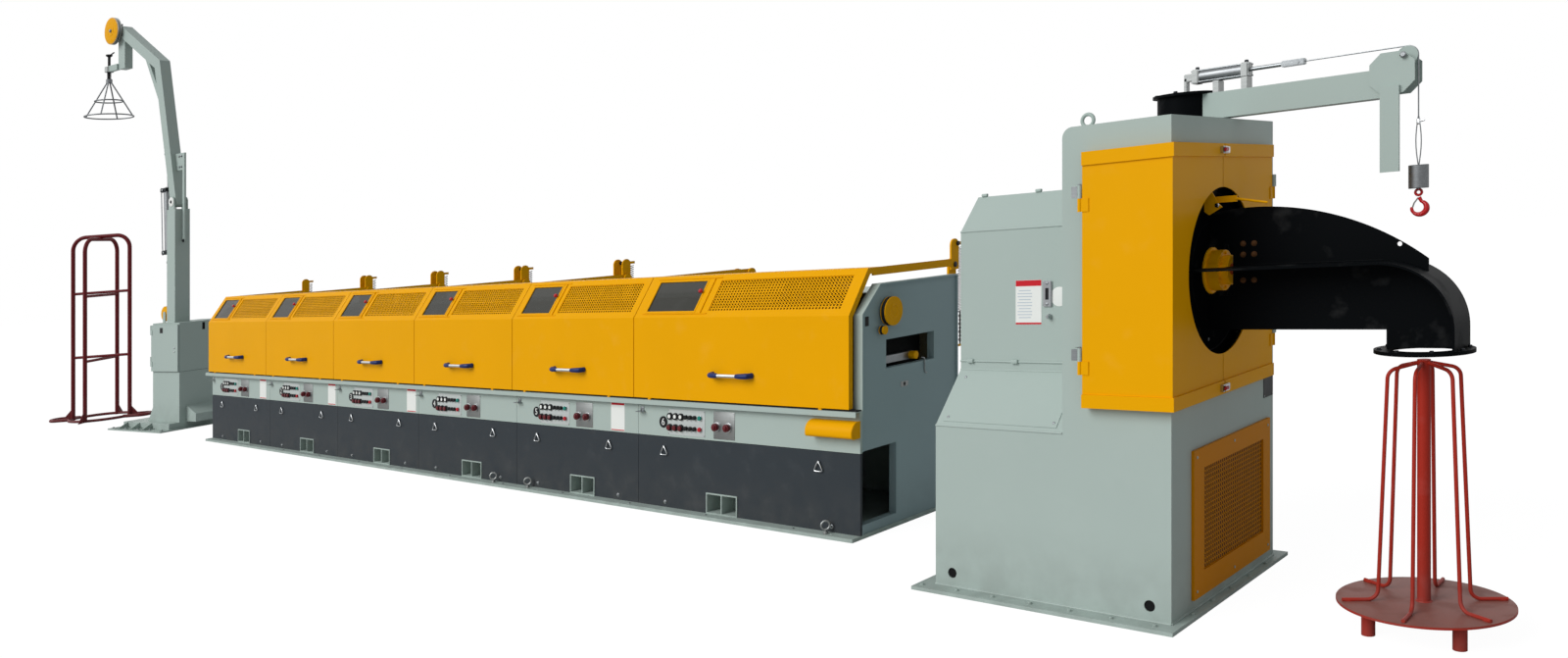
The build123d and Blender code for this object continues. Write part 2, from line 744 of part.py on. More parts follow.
with BuildPart() as outlet_box:
    box_range = (line_right - OUTLET_BOX_LENGTH, line_right)
    box_height = (OUTLET_BOX_BOTTOM, OUTLET_BOX_BOTTOM + OUTLET_BOX_HEIGHT)
    block(box_range, (panel_front - OUTLET_BOX_REACH, panel_front), box_height)
    front_edges = outlet_box.edges().filter_by(Axis.Z).group_by(Axis.Y)[0]
    fillet(front_edges, OUTLET_BOX_ROUND)
finish(outlet_box.part, "outlet_box")

# Drawing drums
with BuildPart() as drawing_drums:
    for start, end in zip(bay_starts, bay_ends):
        with BuildSketch(Plane.XZ.offset(-drum_y)):
            with BuildLine():
                middle = (start + end) / 2
                foot_top = deck_top + DRUM_FOOT_HEIGHT
                cone_top = foot_top + DRUM_CONE_HEIGHT
                drum_top = deck_top + DRUM_HEIGHT
                Polyline(
                    (middle, deck_top),
                    (middle + DRUM_FOOT_RADIUS, deck_top),
                    (middle + DRUM_FOOT_RADIUS, foot_top),
                    (middle + DRUM_RADIUS, cone_top),
                    (middle + DRUM_RADIUS, drum_top),
                    (middle + DRUM_CAP_RADIUS, drum_top),
                    (middle + DRUM_CAP_RADIUS, drum_top + DRUM_CAP_HEIGHT),
                    (middle, drum_top + DRUM_CAP_HEIGHT),
                    close=True,
                )
            make_face()
        revolve(axis=Axis((middle, drum_y, deck_top), (0, 0, 1)))
finish(drawing_drums.part, "drawing_drums")


# Hoods
def hood_line(inset, bottom, back):
    """The hood's section line, set in by a distance from its outer skin."""
    bend_shift = inset * math.tan((math.pi / 2 - slope_angle) / 2)
    ridge_shift = inset * math.tan(slope_angle / 2)
    return [
        (hood_front + inset, bottom),
        (hood_front + inset, HOOD_BEND - bend_shift),
        (hood_ridge + ridge_shift, HOOD_RIDGE - inset),
        (back, HOOD_RIDGE - inset),
    ]


def slope_plane(x_start):
    """Plane on the hood's sloping face: x along the line, y up the slope."""
    outward = (0, -math.sin(slope_angle), math.cos(slope_angle))
    return Plane(origin=(x_start, hood_front, HOOD_BEND), x_dir=(1, 0, 0), z_dir=outward)


def slope_opening(plane, length, shares, grow):
    """Rectangle on the slope between two shares of the hood's length."""
    width = length * (shares[1] - shares[0]) + 2 * grow
    height = slope_length * (SLOPE_HIGH_SHARE - SLOPE_LOW_SHARE) + 2 * grow
    across = length * (shares[0] + shares[1]) / 2
    up = slope_length * (SLOPE_HIGH_SHARE + SLOPE_LOW_SHARE) / 2
    with BuildSketch(plane) as opening:
        with Locations((across, up)):
            Rectangle(width, height)
    return opening.sketch


PANE_SHARES = (PANE_START_SHARE, PANE_END_SHARE)
MESH_SHARES = (MESH_START_SHARE, MESH_END_SHARE)
hood_back = hood_ridge + HOOD_TOP_DEPTH
lug_outer = pivot_y + LUG_WIDTH / 2
lug_inner = pivot_y - LUG_WIDTH / 2


def hood_arm(x_start):
    """Side arm with its upright lug, drilled for the pivot pin."""
    arm_bottom = HOOD_RIDGE - ARM_HEIGHT
    round_top = LUG_TOP - LUG_WIDTH / 2
    plate_across(
        [
            (hood_ridge + ARM_HEIGHT, arm_bottom),
            (hood_ridge + ARM_HEIGHT, HOOD_RIDGE),
            (lug_inner, HOOD_RIDGE),
            (lug_inner, round_top),
            (lug_outer, round_top),
            (lug_outer, PIVOT_Z - LUG_DROP),
            (lug_inner, PIVOT_Z - LUG_DROP),
            (lug_inner, arm_bottom),
        ],
        x_start,
        ARM_THICK,
    )
    round_x(LUG_WIDTH / 2, (x_start, x_start + ARM_THICK), pivot_y, round_top)
    ear_range = (pivot_y, spring_y + SPRING_EAR)
    block((x_start, x_start + ARM_THICK), ear_range, (SPRING_TOP, SPRING_TOP + SPRING_EAR_HEIGHT))
    bore = (x_start - OVERRUN, x_start + ARM_THICK + OVERRUN)
    round_x(PIN_RADIUS + PIN_CLEARANCE, bore, pivot_y, PIVOT_Z, Mode.SUBTRACT)


def low_arm(x_start):
    """Side arm that ends round the pivot pin, where no spring stands."""
    arm_range = (x_start, x_start + ARM_THICK)
    block(arm_range, (hood_ridge + ARM_HEIGHT, pivot_y), (HOOD_RIDGE - ARM_HEIGHT, HOOD_RIDGE))
    round_x(HOOD_RIDGE - PIVOT_Z, arm_range, pivot_y, PIVOT_Z)
    bore = (x_start - OVERRUN, x_start + ARM_THICK + OVERRUN)
    round_x(PIN_RADIUS + PIN_CLEARANCE, bore, pivot_y, PIVOT_Z, Mode.SUBTRACT)


def hood_span(number):
    """Where one hood starts and ends along X; the last one stops short of the end frame's rim."""
    setback = HOOD_END_SETBACK if number == BLOCK_COUNT - 1 else HOOD_GAP / 2
    return seams[number] + HOOD_GAP / 2, seams[number + 1] - setback


def arm_starts(number):
    """Where the left and the right arm of one hood start along X."""
    start, end = hood_span(number)
    left_inset = 0 if number == 0 else ARM_INSET
    right_inset = 0 if number == BLOCK_COUNT - 1 else ARM_INSET
    return start + left_inset, end - right_inset - ARM_THICK


def arm_has_spring(number, side):
    """Springs stand behind every seam but the last one between two hoods."""
    beside_last_seam = (BLOCK_COUNT - 2, -1), (BLOCK_COUNT - 1, 1)
    return (number, side) not in beside_last_seam


for number in range(BLOCK_COUNT):
    start, end = hood_span(number)
    length = end - start
    face = slope_plane(start)
    with BuildPart() as hood:
        skin = hood_line(0, HOOD_BOTTOM, hood_back) + hood_line(HOOD_SHEET, HOOD_BOTTOM, hood_back)[::-1]
        plate_across(skin, start, length)
        rim = hood_line(0, HOOD_BOTTOM, hood_back) + hood_line(HOOD_RETURN, HOOD_BOTTOM, hood_back)[::-1]
        plate_across(rim, start, HOOD_SHEET)
        plate_across(rim, end - HOOD_SHEET, HOOD_SHEET)
        block((start, end), (hood_front, hood_front + HOOD_LIP), (HOOD_BOTTOM, HOOD_BOTTOM + HOOD_SHEET))
        for side, arm_start in zip((1, -1), arm_starts(number)):
            if arm_has_spring(number, side):
                hood_arm(arm_start)
            else:
                low_arm(arm_start)
        for shares in (PANE_SHARES, MESH_SHARES):
            opening = slope_opening(face, length, shares, 0)
            extrude(opening, amount=OVERRUN, both=True, mode=Mode.SUBTRACT)
    finish(hood.part, f"hood_{number + 1}")
    with BuildPart() as fittings:
        under = face.offset(-HOOD_SHEET - SEAT_GAP)
        for shares in (PANE_SHARES, MESH_SHARES):
            extrude(slope_opening(under, length, shares, HANDLE_RADIUS), amount=-PANE_THICK)
        middle = start + length * HANDLE_PLACE_SHARE
        bar_y = hood_front - HANDLE_REACH
        round_x(HANDLE_RADIUS, (middle - HANDLE_SPAN / 2, middle + HANDLE_SPAN / 2), bar_y, HANDLE_Z)
        for side in (-1, 1):
            foot_middle = middle + side * (HANDLE_SPAN - HANDLE_FOOT) / 2
            foot_range = (foot_middle - HANDLE_FOOT / 2, foot_middle + HANDLE_FOOT / 2)
            block(foot_range, (bar_y, hood_front), (HANDLE_Z - HANDLE_RADIUS, HANDLE_Z + HANDLE_RADIUS))
    finish(fittings.part, f"hood_fittings_{number + 1}")

# Hinge brackets on the rear wall, each with the pin of one hood arm
with BuildPart() as hinge_brackets:
    for number in range(BLOCK_COUNT):
        for side, arm_start in zip((1, -1), arm_starts(number)):
            if side == 1:
                plate_start = arm_start + ARM_THICK + BRACKET_SIDE_GAP
                pin_range = (arm_start, plate_start + BRACKET_THICK)
            else:
                plate_start = arm_start - BRACKET_SIDE_GAP - BRACKET_THICK
                pin_range = (plate_start, arm_start + ARM_THICK)
            plate_range = (plate_start, plate_start + BRACKET_THICK)
            block(plate_range, (frame_back, frame_back + BRACKET_WIDTH), (INNER_TOP - BRACKET_DROP, PIVOT_Z))
            round_x(BRACKET_WIDTH / 2, plate_range, frame_back + BRACKET_WIDTH / 2, PIVOT_Z)
            round_x(PIN_RADIUS, pin_range, pivot_y, PIVOT_Z)
            if not arm_has_spring(number, side):
                continue
            shelf = (SPRING_BOTTOM - SPRING_SHELF, SPRING_BOTTOM)
            arm_middle = arm_start + ARM_THICK / 2
            shelf_range = (arm_middle - SPRING_RADIUS, arm_middle + SPRING_RADIUS)
            block(shelf_range, (frame_back, spring_y + SPRING_RADIUS), shelf)
finish(hinge_brackets.part, "hinge_brackets")

with BuildPart() as balance_springs:
    for number in range(BLOCK_COUNT):
        for side, arm_start in zip((1, -1), arm_starts(number)):
            if not arm_has_spring(number, side):
                continue
            arm_middle = arm_start + ARM_THICK / 2
            spring_range = (SPRING_BOTTOM + SEAT_GAP, SPRING_TOP - SEAT_GAP)
            round_z(SPRING_RADIUS, spring_range, arm_middle, spring_y)
finish(balance_springs.part, "balance_springs")

# Coil take-up
takeup_left = line_right + TAKEUP_GAP
takeup_right = takeup_left + TAKEUP_LENGTH
column_left = takeup_right - COLUMN_LENGTH
takeup_back = TAKEUP_FRONT + TAKEUP_DEPTH
hub_y = TAKEUP_FRONT + HUB_FROM_FRONT
chamber_left = takeup_right - CHAMBER_LENGTH
grille_front = TAKEUP_FRONT + GRILLE_FROM_FRONT
grille_back = takeup_back - GRILLE_REAR_MARGIN
grille_top = GRILLE_BOTTOM + GRILLE_HEIGHT
jib_x = takeup_right - JIB_FROM_RIGHT
jib_y = TAKEUP_FRONT + JIB_FROM_FRONT
door_front = TAKEUP_FRONT - DOOR_PROUD_FRONT
door_side = takeup_right + DOOR_PROUD_SIDE
door_left = door_side - DOOR_LENGTH
door_rear = takeup_back - DOOR_REAR_MARGIN
door_height = (DOOR_BOTTOM, DOOR_TOP)
rim_bands = ((DOOR_BOTTOM, DOOR_BOTTOM + DOOR_RIM_HEIGHT), (DOOR_TOP - DOOR_RIM_HEIGHT, DOOR_TOP))
closing_sheets = ((DOOR_BOTTOM, DOOR_BOTTOM + DOOR_SHEET), (DOOR_TOP - DOOR_SHEET, DOOR_TOP))
hinge_heights = (DOOR_BOTTOM + HINGE_FROM_END, DOOR_TOP - HINGE_FROM_END)
front_hinge_x = door_left - HINGE_RADIUS - HINGE_GAP
rear_hinge_y = door_rear + HINGE_RADIUS + HINGE_GAP
with BuildPart() as takeup_housing:
    block((column_left, takeup_right), (TAKEUP_FRONT, takeup_back), (FLANGE_THICK, COLUMN_TOP))
    top_edges = takeup_housing.edges().group_by(Axis.Z)[-1]
    fillet(top_edges.sort_by(Axis.X)[0], COLUMN_ROUND)
    side_outline = [
        (TAKEUP_FRONT, FLANGE_THICK),
        (TAKEUP_FRONT, LOWER_BOX_TOP),
        (TAKEUP_FRONT + SLOPE_RUN, SLOPE_TOP),
        (TAKEUP_FRONT + SLOPE_RUN, UPPER_BOX_SHOULDER),
        (TAKEUP_FRONT + SLOPE_RUN + UPPER_CHAMFER_RUN, UPPER_BOX_TOP),
        (takeup_back, UPPER_BOX_TOP),
        (takeup_back, FLANGE_THICK),
    ]
    plate_across(side_outline, takeup_left, column_left - takeup_left)
    block(
        (takeup_left - FLANGE_REACH, takeup_right + FLANGE_REACH / 2),
        (TAKEUP_FRONT - FLANGE_REACH, takeup_back + FLANGE_REACH),
        (0, FLANGE_THICK),
    )
    chamber_depth = (TAKEUP_FRONT - OVERRUN, takeup_back - CHAMBER_REAR_WALL)
    block((chamber_left, takeup_right + OVERRUN), chamber_depth, (CHAMBER_BOTTOM, CHAMBER_TOP), Mode.SUBTRACT)
    vent_depth = (grille_front + GRILLE_BORDER_SIDE, grille_back - GRILLE_BORDER_END)
    vent_height = (GRILLE_BOTTOM + GRILLE_BORDER_SIDE, grille_top - GRILLE_BORDER_END)
    block((takeup_right - VENT_POCKET_DEPTH, takeup_right + OVERRUN), vent_depth, vent_height, Mode.SUBTRACT)
    for hole_x in (takeup_left + TIE_HOLE_INSET, takeup_right - TIE_HOLE_INSET):
        round_y(TIE_HOLE_RADIUS, (TAKEUP_FRONT - OVERRUN, TAKEUP_FRONT + TIE_HOLE_DEPTH), hole_x, TIE_HOLE_Z, Mode.SUBTRACT)
    round_z(JIB_PIN_RADIUS, (COLUMN_TOP, COLUMN_TOP + JIB_PIN_HEIGHT), jib_x, jib_y)
    eye_x = column_left + COLUMN_ROUND + LIFTING_EYE_RADIUS
    eye_z = COLUMN_TOP + LIFTING_EYE_RADIUS
    with Locations((eye_x, TAKEUP_FRONT + 2 * COLUMN_ROUND, eye_z)):
        Torus(LIFTING_EYE_RADIUS, LIFTING_EYE_WIRE, rotation=(90, 0, 0))
    for hinge_z in hinge_heights:
        hinge_range = (hinge_z + SEAT_GAP, hinge_z + HINGE_HEIGHT / 2)
        round_z(HINGE_RADIUS, hinge_range, front_hinge_x, door_front)
        foot_start = front_hinge_x - HINGE_LEAF
        leaf_thick = (door_front - HINGE_SHEET, door_front + HINGE_SHEET)
        block((foot_start, front_hinge_x), leaf_thick, hinge_range)
        block((foot_start, foot_start + HINGE_RADIUS), (leaf_thick[0], TAKEUP_FRONT), hinge_range)
        round_z(HINGE_RADIUS, hinge_range, door_side, rear_hinge_y)
        foot_end = rear_hinge_y + HINGE_LEAF
        side_thick = (door_side - HINGE_SHEET, door_side + HINGE_SHEET)
        block(side_thick, (rear_hinge_y, foot_end), hinge_range)
        block((takeup_right, side_thick[1]), (foot_end - HINGE_RADIUS, foot_end), hinge_range)
finish(takeup_housing.part, "takeup_housing")

# Winding block and dish in the chamber
dish_face = takeup_right - DISH_INSET
with BuildPart() as winding_block:
    round_x(BLOCK_RADIUS, (chamber_left, dish_face - DISH_THICK), hub_y, HUB_Z)
    round_x(DISH_RADIUS, (dish_face - DISH_THICK, dish_face), hub_y, HUB_Z)
finish(winding_block.part, "winding_block")

with BuildPart() as winding_hub:
    hub_end = dish_face + HUB_LENGTH
    round_x(HUB_RADIUS, (dish_face, hub_end), hub_y, HUB_Z)
    round_x(HUB_DISC_RADIUS, (hub_end, hub_end + HUB_DISC_LENGTH), hub_y, HUB_Z)
    lever_y = hub_y - LEVER_SHIFT
    lever_height = (LEVER_Z - LEVER_WIDTH, LEVER_Z)
    block((dish_face, dish_face + LEVER_LENGTH), (lever_y, lever_y + LEVER_THICK), lever_height)
    lever_tip = (dish_face + LEVER_LENGTH - LEVER_RADIUS, lever_y, LEVER_Z - LEVER_WIDTH / 2)
    rod(lever_tip, (lever_tip[0] + LEVER_LENGTH, lever_y, lever_tip[2] - LEVER_WIDTH), LEVER_RADIUS)
finish(winding_hub.part, "winding_hub")

# Doors: an L-shaped front door and a flat rear door, which share the round hole
with BuildPart() as takeup_front_door:
    split = hub_y - DOOR_SPLIT_GAP / 2
    block((door_left, door_side), (door_front, door_front + DOOR_SHEET), door_height)
    block((door_side - DOOR_SHEET, door_side), (door_front, split), door_height)
    for band in rim_bands:
        block((door_left, door_side + DOOR_RIM_PROUD), (door_front - DOOR_RIM_PROUD, door_front), band)
        block((door_side, door_side + DOOR_RIM_PROUD), (door_front, split), band)
    for sheet in closing_sheets:
        block((door_left, door_side), (door_front, TAKEUP_FRONT - DOOR_BACK_GAP), sheet)
        block((takeup_right + DOOR_BACK_GAP, door_side), (door_front, split), sheet)
    hole_range = (takeup_right, door_side + DOOR_RIM_PROUD + OVERRUN)
    round_x(DOOR_HOLE_RADIUS, hole_range, hub_y, HUB_Z, Mode.SUBTRACT)
    for hinge_z in hinge_heights:
        hinge_range = (hinge_z - HINGE_HEIGHT / 2, hinge_z)
        round_z(HINGE_RADIUS, hinge_range, front_hinge_x, door_front)
        leaf_thick = (door_front - HINGE_SHEET, door_front + HINGE_SHEET / 2)
        block((front_hinge_x, door_left + HINGE_LEAF), leaf_thick, hinge_range)
    for band in rim_bands:
        latch_z = (band[0] + band[1]) / 2
        latch_range = (door_side + DOOR_RIM_PROUD, door_side + DOOR_RIM_PROUD + LATCH_THICK)
        latch_height = (latch_z - LATCH_HEIGHT / 2, latch_z + LATCH_HEIGHT / 2)
        block(latch_range, (split - LATCH_WIDTH, split), latch_height)
finish(takeup_front_door.part, "takeup_front_door")

with BuildPart() as takeup_rear_door:
    rear_split = hub_y + DOOR_SPLIT_GAP / 2
    block((door_side - DOOR_SHEET, door_side), (rear_split, door_rear), door_height)
    for band in rim_bands:
        block((door_side, door_side + DOOR_RIM_PROUD), (rear_split, door_rear), band)
    for sheet in closing_sheets:
        block((takeup_right + DOOR_BACK_GAP, door_side), (rear_split, door_rear), sheet)
    round_x(DOOR_HOLE_RADIUS, hole_range, hub_y, HUB_Z, Mode.SUBTRACT)
    for hinge_z in hinge_heights:
        hinge_range = (hinge_z - HINGE_HEIGHT / 2, hinge_z)
        round_z(HINGE_RADIUS, hinge_range, door_side, rear_hinge_y)
        leaf_thick = (door_side - HINGE_SHEET / 2, door_side + HINGE_SHEET)
        block(leaf_thick, (door_rear - HINGE_LEAF, rear_hinge_y), hinge_range)
finish(takeup_rear_door.part, "takeup_rear_door")

with BuildPart() as vent_grille:
    grille_range = (takeup_right, takeup_right + GRILLE_THICK)
    block(grille_range, (grille_front, grille_back), (GRILLE_BOTTOM, grille_top))
    mesh_range = (takeup_right + GRILLE_SHEET, takeup_right + GRILLE_THICK + OVERRUN)
    block(mesh_range, vent_depth, vent_height, Mode.SUBTRACT)
finish(vent_grille.part, "vent_grille")

# Trunk: a curved fin, a curved wide plate across it and an end ring
trunk_end = dish_face + TRUNK_END_RUN - DISH_INSET
throat_x = takeup_right + TRUNK_THROAT_RUN - DISH_INSET
ridge_end = trunk_end - TRUNK_BEND_RADIUS
bend_bottom = TRUNK_RIDGE_Z - TRUNK_BEND_RADIUS
shoulder = (takeup_right + TRUNK_SHOULDER_RUN + DOOR_RIM_HEIGHT, TRUNK_SHOULDER_Z)
ring_centre = (throat_x + trunk_end) / 2
with BuildPart() as trunk:
    with BuildSketch(Plane.XZ.offset(-hub_y - TRUNK_SHEET / 2)):
        with BuildLine():
            fin_top = ThreePointArc(
                (dish_face, TRUNK_TOP_Z),
                (takeup_right + TRUNK_MID_TOP_RUN - DISH_INSET, TRUNK_MID_TOP_Z),
                (shoulder[0], shoulder[1] - LEDGE_HEIGHT),
            )
            arc_start_angle = math.acos((shoulder[0] - ridge_end) / TRUNK_BEND_RADIUS)
            bend_point = (
                ridge_end + TRUNK_BEND_RADIUS * math.cos(arc_start_angle),
                bend_bottom + TRUNK_BEND_RADIUS * math.sin(arc_start_angle),
            )
            Line(fin_top @ 1, bend_point)
            middle_angle = arc_start_angle / 2
            outer = ThreePointArc(
                bend_point,
                (
                    ridge_end + TRUNK_BEND_RADIUS * math.cos(middle_angle),
                    bend_bottom + TRUNK_BEND_RADIUS * math.sin(middle_angle),
                ),
                (trunk_end, bend_bottom),
            )
            Polyline(
                outer @ 1,
                (trunk_end, TRUNK_END_Z),
                (throat_x, TRUNK_END_Z),
                (throat_x, TRUNK_BELLY_Z),
                (dish_face, TRUNK_BELLY_Z),
                fin_top @ 0,
            )
        make_face()
    extrude(amount=TRUNK_SHEET)
    with BuildSketch(Plane.XZ.offset(-hub_y - TRUNK_ROOT_HALF)) as wide_section:
        with BuildLine():
            inner_radius = TRUNK_BEND_RADIUS - TRUNK_SHEET
            diagonal = math.pi / 4
            top_run = Line((dish_face, TRUNK_RIDGE_Z), (ridge_end, TRUNK_RIDGE_Z))
            top_arc = ThreePointArc(
                top_run @ 1,
                (
                    ridge_end + TRUNK_BEND_RADIUS * math.cos(diagonal),
                    bend_bottom + TRUNK_BEND_RADIUS * math.sin(diagonal),
                ),
                (trunk_end, bend_bottom),
            )
            Polyline(
                top_arc @ 1,
                (trunk_end, TRUNK_END_Z),
                (trunk_end - TRUNK_SHEET, TRUNK_END_Z),
                (trunk_end - TRUNK_SHEET, bend_bottom),
            )
            ThreePointArc(
                (trunk_end - TRUNK_SHEET, bend_bottom),
                (
                    ridge_end + inner_radius * math.cos(diagonal),
                    bend_bottom + inner_radius * math.sin(diagonal),
                ),
                (ridge_end, TRUNK_RIDGE_Z - TRUNK_SHEET),
            )
            Polyline(
                (ridge_end, TRUNK_RIDGE_Z - TRUNK_SHEET),
                (dish_face, TRUNK_RIDGE_Z - TRUNK_SHEET),
                (dish_face, TRUNK_RIDGE_Z),
            )
        make_face()
    extrude(amount=2 * TRUNK_ROOT_HALF)
    for side in (-1, 1):
        with BuildSketch(Plane.XY.offset(TRUNK_END_Z)):
            with BuildLine():
                Polyline(
                    (dish_face - OVERRUN, hub_y + side * (TRUNK_ROOT_HALF + OVERRUN)),
                    (dish_face - OVERRUN, hub_y + side * TRUNK_ROOT_HALF),
                    (trunk_end + OVERRUN, hub_y + side * TRUNK_TIP_HALF),
                    (trunk_end + OVERRUN, hub_y + side * (TRUNK_ROOT_HALF + OVERRUN)),
                    close=True,
                )
            make_face()
        extrude(amount=TRUNK_RIDGE_Z - TRUNK_END_Z + OVERRUN, mode=Mode.SUBTRACT)
    notch_range = (dish_face - OVERRUN, hub_end + HUB_DISC_LENGTH + OVERRUN)
    round_x(TRUNK_HUB_NOTCH, notch_range, hub_y, HUB_Z, Mode.SUBTRACT)
    hole_x = takeup_right + TRUNK_HOLE_RUN - DISH_INSET
    round_y(TRUNK_HOLE_RADIUS, (hub_y - LEDGE_HEIGHT, hub_y + LEDGE_HEIGHT), hole_x, TRUNK_HOLE_Z, Mode.SUBTRACT)
    ring_height = (TRUNK_END_Z - TRUNK_RING_THICK, TRUNK_END_Z)
    round_z(TRUNK_RING_RADIUS, ring_height, ring_centre, hub_y)
    ring_cut = (ring_height[0] - OVERRUN, ring_height[1])
    round_z(TRUNK_RING_BORE, ring_cut, ring_centre, hub_y, Mode.SUBTRACT)
finish(trunk.part, "trunk")

# Jib crane: a drum that turns on the housing's pin, with beam, head and leg
drum_bottom = COLUMN_TOP + SEAT_GAP
drum_top_z = drum_bottom + JIB_DRUM_HEIGHT
beam_bottom = COLUMN_TOP + BEAM_LIFT
beam_top = beam_bottom + BEAM_HEIGHT
beam_end = jib_x + BEAM_LENGTH
with BuildPart() as jib_drum:
    round_z(JIB_DRUM_RADIUS, (drum_bottom, drum_top_z), jib_x, jib_y)
    round_z(JIB_FLANGE_RADIUS, (drum_top_z - JIB_FLANGE_THICK, drum_top_z), jib_x, jib_y)
    bore_height = (drum_bottom - OVERRUN, COLUMN_TOP + JIB_PIN_HEIGHT + OVERRUN)
    round_z(JIB_PIN_RADIUS + PIN_CLEARANCE, bore_height, jib_x, jib_y, Mode.SUBTRACT)
    beam_slot = (jib_y - BEAM_WIDTH / 2, jib_y + BEAM_WIDTH / 2)
    slot_start = jib_x + JIB_DRUM_RADIUS - JIB_FLANGE_THICK
    block((slot_start, jib_x + 2 * JIB_DRUM_RADIUS), beam_slot, (beam_bottom, beam_top), Mode.SUBTRACT)
finish(jib_drum.part, "jib_drum")

head_start = beam_end - HEAD_OVERLAP
head_end = head_start + HEAD_LENGTH
sheave_x = head_end - HOIST_SHEAVE_RADIUS - HOIST_ROPE_RADIUS
rope_z = beam_top + CYLINDER_LIFT
sheave_z = rope_z - HOIST_SHEAVE_RADIUS - HOIST_ROPE_RADIUS
head_top = sheave_z + HOIST_SHEAVE_RADIUS / 2
head_outline = [
    (head_start, head_top - HEAD_HEIGHT + HEAD_CHAMFER),
    (head_start, head_top - HEAD_CHAMFER),
    (head_start + HEAD_CHAMFER, head_top),
    (head_end - HEAD_CHAMFER, head_top),
    (head_end, head_top - HEAD_CHAMFER),
    (head_end, head_top - HEAD_HEIGHT + HEAD_CHAMFER),
    (head_end - HEAD_CHAMFER, head_top - HEAD_HEIGHT),
    (head_start + HEAD_CHAMFER, head_top - HEAD_HEIGHT),
]
with BuildPart() as jib_beam:
    block((slot_start, beam_end), beam_slot, (beam_bottom, beam_top))
    plate_along(head_outline, beam_slot[0] - HEAD_PLATE, HEAD_PLATE)
    plate_along(head_outline, beam_slot[1], HEAD_PLATE)
    leg_start = beam_end - LEG_LAP
    block(
        (leg_start, leg_start + LEG_WIDTH),
        (jib_y - BEAM_WIDTH / 2 - HEAD_PLATE - LEG_THICK, jib_y - BEAM_WIDTH / 2 - HEAD_PLATE),
        (beam_bottom - LEG_DROP, beam_bottom + HEAD_CHAMFER),
    )
    round_y(HOIST_PIN_RADIUS, beam_slot, sheave_x, sheave_z)
    sheave_centre = (sheave_x, jib_y, sheave_z)
    through_wheel(
        Plane.XY,
        sheave_centre,
        HOIST_SHEAVE_RADIUS + HOIST_ROPE_RADIUS,
        HOIST_SHEAVE_WIDTH,
        2 * HOIST_ROPE_RADIUS,
        HOIST_PIN_RADIUS,
    )
finish(jib_beam.part, "jib_beam")

with BuildPart() as hoist_cylinder:
    cylinder_start = jib_x + CYLINDER_START_REACH
    cylinder_end = cylinder_start + CYLINDER_LENGTH
    round_x(CYLINDER_RADIUS, (cylinder_start, cylinder_end), jib_y, rope_z)
    half_cap = CYLINDER_CAP / 2
    for cap_start in (cylinder_start, cylinder_end - CYLINDER_CAP_LENGTH):
        cap_range = (cap_start, cap_start + CYLINDER_CAP_LENGTH)
        block(cap_range, (jib_y - half_cap, jib_y + half_cap), (rope_z - half_cap, rope_z + half_cap))
    for foot_start in (slot_start + CYLINDER_CAP_LENGTH, cylinder_end - CYLINDER_CAP_LENGTH):
        foot_range = (foot_start, foot_start + CYLINDER_CAP_LENGTH)
        block(foot_range, (jib_y - half_cap, jib_y + half_cap), (beam_top, rope_z - CYLINDER_RADIUS / 2))
    tail_range = (cylinder_start - TAIL_LENGTH, cylinder_start)
    tail_half = CLEVIS_WIDTH / 2
    block(tail_range, (jib_y - tail_half, jib_y + tail_half), (drum_top_z, rope_z + tail_half))
    rod_end = cylinder_end + CYLINDER_ROD_LENGTH
    round_x(CYLINDER_ROD_RADIUS, (cylinder_end, rod_end), jib_y, rope_z)
    clevis_end = rod_end + CLEVIS_LENGTH
    clevis_height = (rope_z - CLEVIS_HEIGHT / 2, rope_z + CLEVIS_HEIGHT / 2)
    block((rod_end, clevis_end), (jib_y - tail_half, jib_y + tail_half), clevis_height)
finish(hoist_cylinder.part, "hoist_cylinder")

with BuildPart() as hoist_rope:
    rope_reach = HOIST_SHEAVE_RADIUS + HOIST_ROPE_RADIUS
    with BuildLine() as rope_path:
        level = Line((clevis_end, jib_y, rope_z), (sheave_x, jib_y, rope_z))
        turn = ThreePointArc(
            level @ 1,
            (
                sheave_x + rope_reach * math.sin(math.pi / 4),
                jib_y,
                sheave_z + rope_reach * math.cos(math.pi / 4),
            ),
            (sheave_x + rope_reach, jib_y, sheave_z),
        )
        Line(turn @ 1, (sheave_x + rope_reach, jib_y, WEIGHT_TOP))
    with BuildSketch(Plane(origin=level @ 0, z_dir=(1, 0, 0))):
        Circle(HOIST_ROPE_RADIUS - SEAT_GAP)
    sweep(path=rope_path.line)
finish(hoist_rope.part, "hoist_rope")

hook_x = sheave_x + rope_reach
with BuildPart() as hook_weight:
    round_z(WEIGHT_RADIUS, (WEIGHT_TOP - WEIGHT_HEIGHT, WEIGHT_TOP), hook_x, jib_y)
finish(hook_weight.part, "hook_weight")

